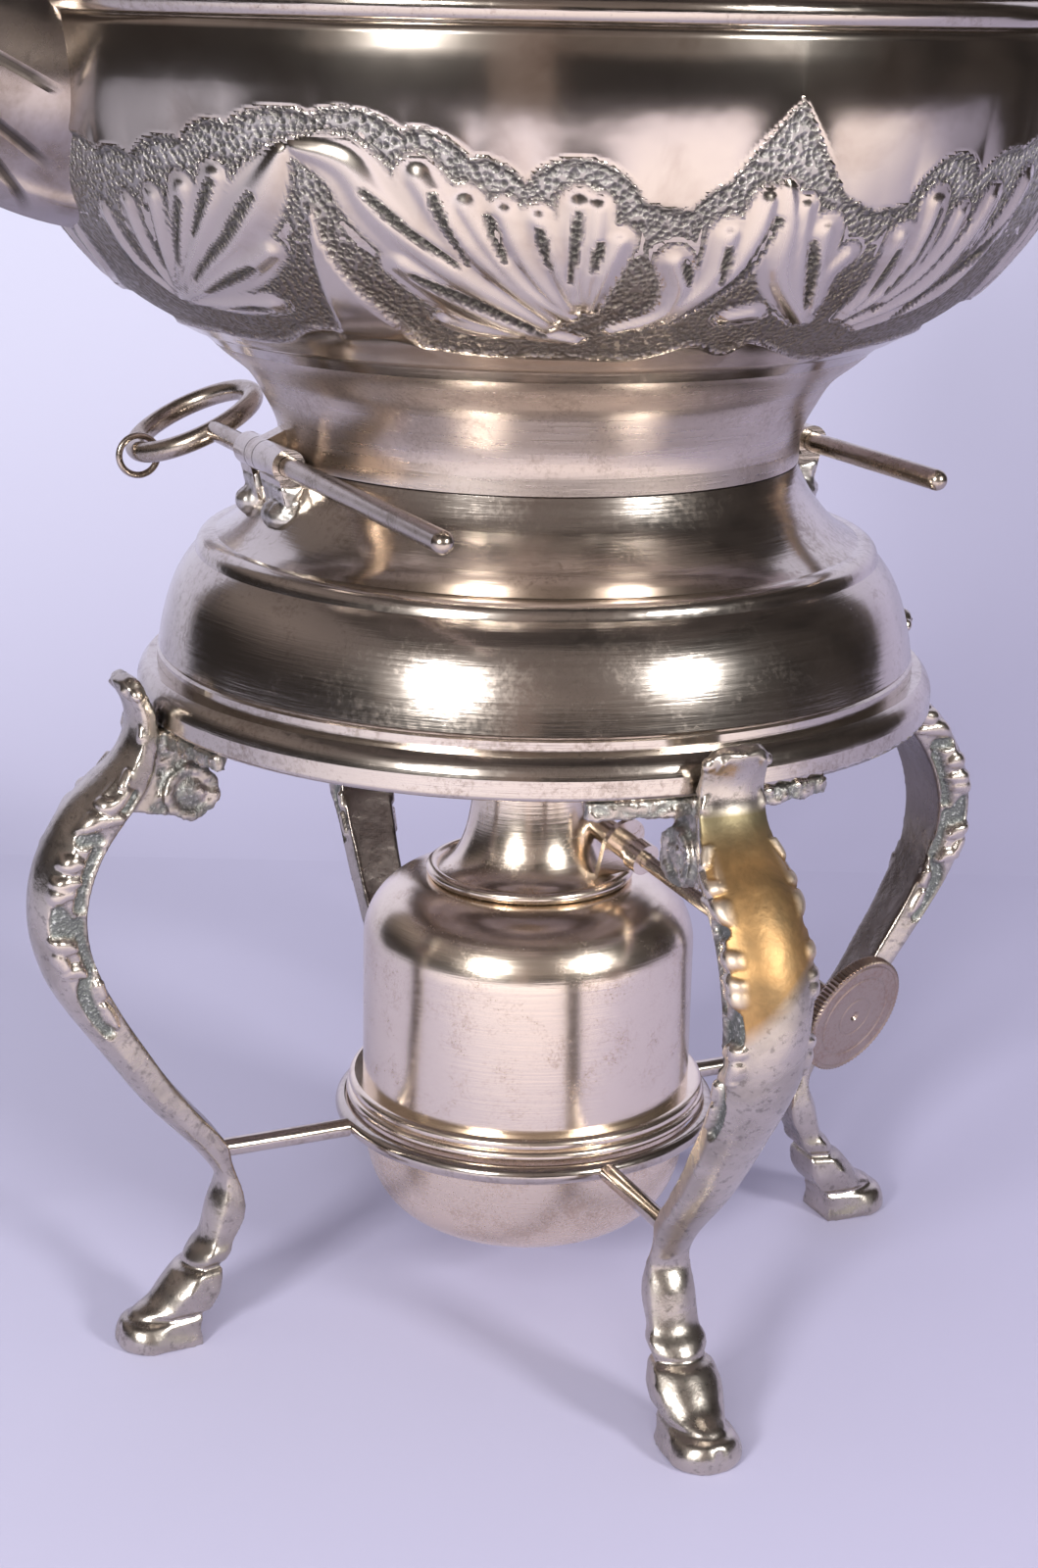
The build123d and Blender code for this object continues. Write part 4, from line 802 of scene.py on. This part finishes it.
def carved_leg():
    """The leg at bearing 0 with its sides carved, its scroll rough with solder and its hoof shaped."""
    mesh = even_skin(settle("leg_blank", loose_mesh("leg_right")), LEG_FACE)
    smoothed(mesh, 3)
    piece = settle("leg_carving", mesh)
    data = piece.data
    places, normals = at_corners(data, "co") / MM, at_corners(data, "normal")
    radius, lateral, height = places.T
    down, out = along_leg(radius, height)
    on_leg = (np.abs(out) < 6.5) & ((radius > 76.5) | (height < 100))
    half = np.interp(down, *zip(*LEG_HALF_WIDTHS))
    recess, lobe = side_carving(out, down, ease(np.abs(lateral) / half, 0.66, 0.90) * on_leg)
    places += normals * (0.75 * lobe)[:, None]
    places[:, 1] -= np.sign(lateral) * 1.15 * recess

    level = normals.copy()
    level[:, 2] *= 0.3
    places += level * hoof_lift(lateral, height, normals[:, 0])[:, None]

    # Solder on the scroll and under the rim, and the scroll's eye
    scroll = (1 - on_leg) * ease(height, 98, 103)
    joint = np.clip(scroll + ease(down, 13, 9) * ease(-out, 0, 2.5), 0, 1)
    uneven = np.zeros(len(places))
    chosen = joint > 0
    uneven[chosen] = lumps(places[chosen], 0.42, 3.0)
    places += normals * (0.55 * uneven * joint)[:, None]
    swirl = np.hypot(radius - SCROLL_EYE[0], height - SCROLL_EYE[1])
    eye = (np.abs(lateral) > 4.6) * (bell(swirl, 2.9, 0.7) * -0.55 + 0.35 * bell(swirl, 0, 1.2))
    places[:, 1] += np.sign(lateral) * eye * (radius < 77) * (height > 100)

    # Slight unevenness of a sand casting, and a sole that stays flat on the ground
    places += normals * (0.05 * lumps(places, 0.16, 9.0))[:, None]
    places[:, 2] = np.maximum(places[:, 2], 0.0)
    move_to(data, places)

    inner = ease(-normals[:, 0], 0.25, 0.7) * ease(down, 14, 24) * ease(down, 128, 100) * (1 - recess)
    for name, values in (
        ("recess", np.clip(recess + 0.8 * joint * ease(uneven, 0.3, -0.3), 0, 1)),
        ("crest", np.clip(lobe, 0, 1)),
        ("front", ease(normals[:, 0] * 0.9 + normals[:, 2] * 0.2, 0.25, 0.7) * on_leg),
        ("inner", inner),
        ("down", down),
        ("across", lateral),
    ):
        note(data, name, values)
    return piece


def carved_legs():
    """The four legs, as turned copies of one carving. The front one is rubbed to the brass."""
    pattern = carved_leg()
    finish, worn = leg_finish("leg_plate"), leg_finish("leg_plate_worn", worn=True)
    for name, turn in LEG_TURNS.items():
        leg = in_scene(name + "_carved", pattern.data.copy())
        leg.data.transform(Matrix.Rotation(radians(turn), 4, "Z"))
        paint(leg, worn if name == "leg_front" else finish)
        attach(leg, "stand")
        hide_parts(name)
        paint(nodes[name], finish)
    bpy.data.objects.remove(pattern)


# Solder at the stand's knuckles: where their feet are cut off, in metres, and the lump's middle, in mm
SOLDER_TOP = 0.1664
SOLDER_MIDDLE, SOLDER_HEIGHT = 48.6, 160.7


def solder_lumps():
    """Solder run over the feet of the stand's hinge knuckles and onto the dome, as one rounded mass each."""
    solder = plate("solder")
    for name in [name for name in bodies["stand"] if "knuckle" in name]:
        mass = loose_mesh(name)
        bmesh.ops.bisect_plane(
            mass, geom=mass.verts[:] + mass.edges[:] + mass.faces[:], plane_co=(0, 0, SOLDER_TOP),
            plane_no=(0, 0, 1), clear_outer=True,
        )
        bmesh.ops.holes_fill(mass, edges=[edge for edge in mass.edges if edge.is_boundary])
        corners = corners_of(mass)
        low, high = corners.min(0), corners.max(0)
        side, outward = np.sign(low[0]), -1 if name.endswith("near") else 1
        middle = Vector((side * SOLDER_MIDDLE, (low[1] + high[1]) / 2 + 1.0 * outward, SOLDER_HEIGHT)) * MM
        half = Vector((6.6, (high[1] - low[1]) / 2 + 0.8, 3.5)) * MM
        bmesh.ops.create_icosphere(
            mass, subdivisions=3, radius=1, matrix=Matrix.Translation(middle) @ Matrix.Diagonal((*half, 1)),
        )
        mesh = even_skin(settle(name + "_blank", mass), SOLDER_FACE)
        smoothed(mesh, 14)
        piece = settle(name + "_solder", mesh)
        places = at_corners(piece.data, "co") / MM
        skin = 0.34 + 0.22 * lumps(places, 0.45, side)
        move_to(piece.data, places + at_corners(piece.data, "normal") * skin[:, None])
        paint(piece, solder)
        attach(piece, "stand")


# The wick winder's disc: columns round its milled edge, every other one cut in, and the cut's depth in mm
DISC_COLUMNS = 168
TOOTH_DEPTH = 0.34


def disc_profile(size, half):
    """Radius and height of a disc's section in mm: dimple, turned rings, edge and plain back."""
    return [
        (0.0, half - 0.55), (0.5, half - 0.52), (0.95, half - 0.12), (1.25, half - 0.04), (3.4, half - 0.05),
        (3.7, half - 0.16), (4.0, half - 0.05), (size * 0.66, half - 0.06), (size * 0.69, half - 0.20),
        (size * 0.72, half - 0.06), (size - 1.2, half - 0.05), (size - 0.95, half - 0.18), (size - 0.6, half - 0.02),
        (size - 0.22, half - 0.05), (size, half - 0.3), (size, 0.3 - half), (size - 0.25, 0.05 - half),
        (size - 1.0, -half), (2.4, -half), (0.0, -half),
    ]


def knurled_disc():
    """The winder's disc with a milled edge, rings turned in its face and a dimple in the middle."""
    blank = loose_mesh("winder_disc")
    corners = corners_of(blank)
    blank.free()
    middle = (corners.min(0) + corners.max(0)) / 2
    # The disc's axis is the way in which its corners spread least
    spread = np.linalg.svd(corners - corners.mean(0))[2]
    axis = spread[2] * (-1 if spread[2][1] > 0 else 1)
    along = (corners - middle) @ axis
    size = np.linalg.norm(corners - middle - along[:, None] * axis, axis=1).max()
    half = (along.max() - along.min()) / 2

    disc = bmesh.new()
    points = [disc.verts.new((radius * MM, 0, height * MM)) for radius, height in disc_profile(size, half)]
    for start, end in zip(points, points[1:]):
        disc.edges.new((start, end))
    spin_round(disc, DISC_COLUMNS)
    bmesh.ops.remove_doubles(disc, verts=disc.verts, dist=1e-6)
    for vert in disc.verts:
        flat = np.hypot(vert.co.x, vert.co.y) / MM
        column = round(np.degrees(np.arctan2(vert.co.y, vert.co.x)) * DISC_COLUMNS / 360)
        if flat > size - 0.3 and column % 2:
            vert.co.x *= 1 - TOOTH_DEPTH / flat
            vert.co.y *= 1 - TOOTH_DEPTH / flat
    turn = Vector((0, 0, 1)).rotation_difference(Vector(axis)).to_matrix().to_4x4()
    disc.transform(Matrix.Translation(Vector(middle) * MM) @ turn)
    piece = settle("winder_disc_knurled", disc, smooth=False)
    paint(piece, plate("disc_plate"))
    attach(piece, "winder")
    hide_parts("winder_disc")


# Studio, in metres, given as right, away and up as the viewer sees them
SEEN_TONE, GIVEN_TONE = (0.76, 0.745, 0.905), (0.93, 0.94, 1.0)
SEEN_STRENGTH, GIVEN_STRENGTH = 1.0, 0.45
NEAR_EDGE = [(-1.6, -0.60), (-0.45, -0.77), (0.0, -0.74), (0.5, -0.70), (0.78, -0.45)]
ROOM_LEFT, ROOM_RIGHT, ROOM_NEAR, ROOM_FAR, ROOM_LOW, ROOM_HIGH = -1.8, 1.9, -1.7, 1.3, -0.7, 2.0
SWEEP_START, SWEEP_BEND, SWEEP_TOP, SWEEP_SIDE = 0.26, 0.30, 0.85, 0.75
LAMP_AIM = Vector((0, 0, 0.14))
# Lamps: place, width, height, power in watts, and whether the metal mirrors them
LAMPS = {
    "left_window": ((-0.60, -1.22, 0.56), 0.26, 0.22, 17.0, True),
    "right_window": ((0.98, -0.95, 0.64), 0.26, 0.22, 15.0, True),
    "front_fill": ((-0.2, -1.4, 1.0), 1.2, 0.6, 12.0, False),
    "overhead": ((-0.2, -0.2, 1.7), 1.0, 1.0, 3.0, False),
}


def matt(r, color, normal=None):
    return r.finish(color, 0.9, normal, Specular_IOR_Level=0.2)


def cloudy_material(name, tone, second, scale):
    """Matt wall in two tones that run into each other."""
    r = Recipe(name)
    return matt(r, r.mix(r.grade(r.noise(scale, 2.0), 0.35, 0.65), tone, second))


def paper_material(name, near_tone):
    """Lilac paper with painted light: lighter towards the viewer and up the sweep, where the lamps fall on it."""
    r = Recipe(name)
    right, away, up = r.axes(turn=(0, 0, VIEW_TURN))
    # Painted light: lighter near the viewer and up the sweep towards the left, where the lamps fall.
    near = r.times(r.grade(away, -0.10, -0.26), r.grade(away, -0.85, -0.45, 0.2, 1.0))
    high = r.grade(r.math("SUBTRACT", up, r.times(right, 0.35)), -0.03, 0.30)
    color = r.mix(near, (0.43, 0.405, 0.545), near_tone)
    color = r.mix(high, color, (0.53, 0.525, 0.63))
    return matt(r, color, r.bump(r.noise(900.0, 3.0, 0.6), 0.0001, 0.15))


def tall_wall_material(name, start, end, dark, pale):
    """Dim wall, dark at the table's height and warmer above it."""
    r = Recipe(name)
    height = r.plus(r.axes()[2], r.times(r.noise(1.6, 3.0, 0.5), 0.3))
    return matt(r, r.mix(r.grade(height, start, end), dark, pale))


def stage_sheet(name, corners, material):
    """Flat sheet of the studio through its corners."""
    mesh = bmesh.new()
    mesh.faces.new([mesh.verts.new(from_view(*corner)) for corner in corners])
    return place_sheet(name, mesh, material)


def place_sheet(name, mesh, material):
    data = bpy.data.meshes.new(name)
    mesh.to_mesh(data)
    mesh.free()
    data.materials.append(material)
    sheet = in_scene(name, data)
    return sheet


def mirror_only(sheet):
    """The sheet shows in polished metal and nowhere else."""
    sheet.visible_camera = False
    sheet.visible_shadow = False
    sheet.visible_diffuse = False


def paper_sweep(material):
    """Paper that rises behind the row from the table in one bend, over three quarters of its rows."""
    mesh = bmesh.new()
    bmesh.ops.create_grid(mesh, x_segments=2, y_segments=24, size=0.5)
    for vert in mesh.verts:
        share = vert.co.y + 0.5
        if share < 0.75:
            turn = share / 0.75 * pi / 2
            away, up = SWEEP_START + SWEEP_BEND * sin(turn), SWEEP_BEND * (1 - cos(turn))
        else:
            away, up = SWEEP_START + SWEEP_BEND, SWEEP_BEND + (share - 0.75) / 0.25 * (SWEEP_TOP - SWEEP_BEND)
        vert.co = from_view(-SWEEP_SIDE + (vert.co.x + 0.5) * (2 * SWEEP_SIDE), away, up)
    place_sheet("paper_sweep", mesh, material).data.shade_smooth()


def standing(start, end, low=ROOM_LOW, high=ROOM_HIGH):
    """Corners of an upright sheet between two points of the floor plan."""
    return [(*start, low), (*end, low), (*end, high), (*start, high)]


def set_room():
    """Dim room round the viewer, seen by the metal only."""
    front = tall_wall_material("room_front_wall", 0.34, 0.60, (0.028, 0.023, 0.021), (0.40, 0.33, 0.28))
    side = tall_wall_material("room_left_wall", 0.55, 1.25, (0.036, 0.030, 0.027), (0.36, 0.30, 0.27))
    wall = cloudy_material("room_wall", (0.030, 0.024, 0.022), (0.085, 0.070, 0.062), 2.2)
    ceiling = cloudy_material("room_ceiling", (0.05, 0.042, 0.038), (0.26, 0.21, 0.185), 1.3)
    screen = matt(Recipe("warm_screen"), (0.33, 0.25, 0.21))
    near_left, near_right = (ROOM_LEFT, ROOM_NEAR), (ROOM_RIGHT, ROOM_NEAR)
    far_left, far_right = (ROOM_LEFT, ROOM_FAR), (ROOM_RIGHT, ROOM_FAR)
    for name, corners, material in (
        ("room_front", standing(near_left, near_right), front),
        ("room_left", standing(near_left, far_left), side),
        ("room_right", standing(near_right, far_right), wall),
        ("room_back", standing(far_left, far_right), ceiling),
        ("room_ceiling", [(*corner, ROOM_HIGH) for corner in (near_left, near_right, far_right, far_left)], ceiling),
        ("warm_screen", standing((-0.30, -1.6), (0.04, -1.6), -0.5, 1.3), screen),
    ):
        mirror_only(stage_sheet(name, corners, material))


def set_world():
    """Pale surroundings as the camera and the metal see them, and the dimmer light that they give."""
    world = bpy.data.worlds.new("studio")
    scene.world = world
    world.use_nodes = True
    tree = world.node_tree
    tree.nodes.clear()
    choose = tree.nodes.new("ShaderNodeMixShader")
    for tone, strength, socket in (
        (GIVEN_TONE, GIVEN_STRENGTH, choose.inputs[1]), (SEEN_TONE, SEEN_STRENGTH, choose.inputs[2]),
    ):
        background = tree.nodes.new("ShaderNodeBackground")
        background.inputs["Color"].default_value = (*tone, 1)
        background.inputs["Strength"].default_value = strength
        tree.links.new(background.outputs[0], socket)
    rays = tree.nodes.new("ShaderNodeLightPath").outputs
    seen = rays["Is Camera Ray"]
    for ray in ("Is Glossy Ray", "Is Transmission Ray"):
        either = tree.nodes.new("ShaderNodeMath")
        either.operation = "MAXIMUM"
        tree.links.new(seen, either.inputs[0])
        tree.links.new(rays[ray], either.inputs[1])
        seen = either.outputs[0]
    tree.links.new(seen, choose.inputs[0])
    out = tree.nodes.new("ShaderNodeOutputWorld")
    tree.links.new(choose.outputs[0], out.inputs["Surface"])


def set_lamps():
    for name, (place, width, height, power, mirrored) in LAMPS.items():
        data = bpy.data.lights.new(name, "AREA")
        data.shape = "RECTANGLE"
        data.size, data.size_y, data.energy = width, height, power
        lamp = in_scene(name, data)
        lamp.location = from_view(*place)
        lamp.rotation_euler = (LAMP_AIM - from_view(*place)).to_track_quat("-Z", "Y").to_euler()
        lamp.visible_glossy = mirrored


def set_stage():
    """Paper, room, world and lamps."""
    paper = paper_material("floor_paper", (0.46, 0.43, 0.56))
    # Painted light: a lighter copy of the paper for the lit floor.
    bright = paper_material("painted_light_paper", (0.84, 0.76, 0.78))
    floor = [*NEAR_EDGE, (1.6, SWEEP_START), (-1.6, SWEEP_START)]
    stage_sheet("floor", [(*point, 0) for point in floor], paper)
    paper_sweep(paper)
    # Painted light: the lighter paper copy, seen by the metal only, for the lit floor in front of the row.
    near_floor = [*NEAR_EDGE, (1.0, -0.12), (-1.6, -0.12)]
    mirror_only(stage_sheet("painted_light_paper", [(*point, 0.001) for point in near_floor], bright))
    set_room()
    set_world()
    set_lamps()
    scene.view_settings.view_transform = "Standard"


place_camera()
set_stage()

# Each material's nodes. A later row takes over a node that an earlier one names.
for material, names in (
    (plate("kettle_plate"), [*bodies["kettle"], *bodies["lid"]]),
    (plate("foot_plate"), ["kettle_foot"]),
    (spout_finish(), ["spout"]),
    (plate("stand_plate"), bodies["stand"]),
    (plate("burner_plate"), bodies["burner"]),
    (plate("burner_bowl_plate"), ["burner_bowl"]),
    (plate("wire_plate"), [
        *bodies["left_pin"], *bodies["right_pin"], *bodies["jump_ring"], *bodies["winder"], *bodies["bail"],
        "bail_rivet_front", "bail_rivet_rear", "lid_hinge_pin",
    ]),
    (plate("disc_plate"), ["winder_disc"]),
    (wood_finish(), ["bail_grip"]),
    (bone_finish(), ["bail_insulator_front", "bail_insulator_rear"]),
    (cotton_finish(), bodies["wick"]),
):
    for name in names:
        paint(nodes[name], material)

chased_band()
carved_legs()
solder_lumps()
knurled_disc()
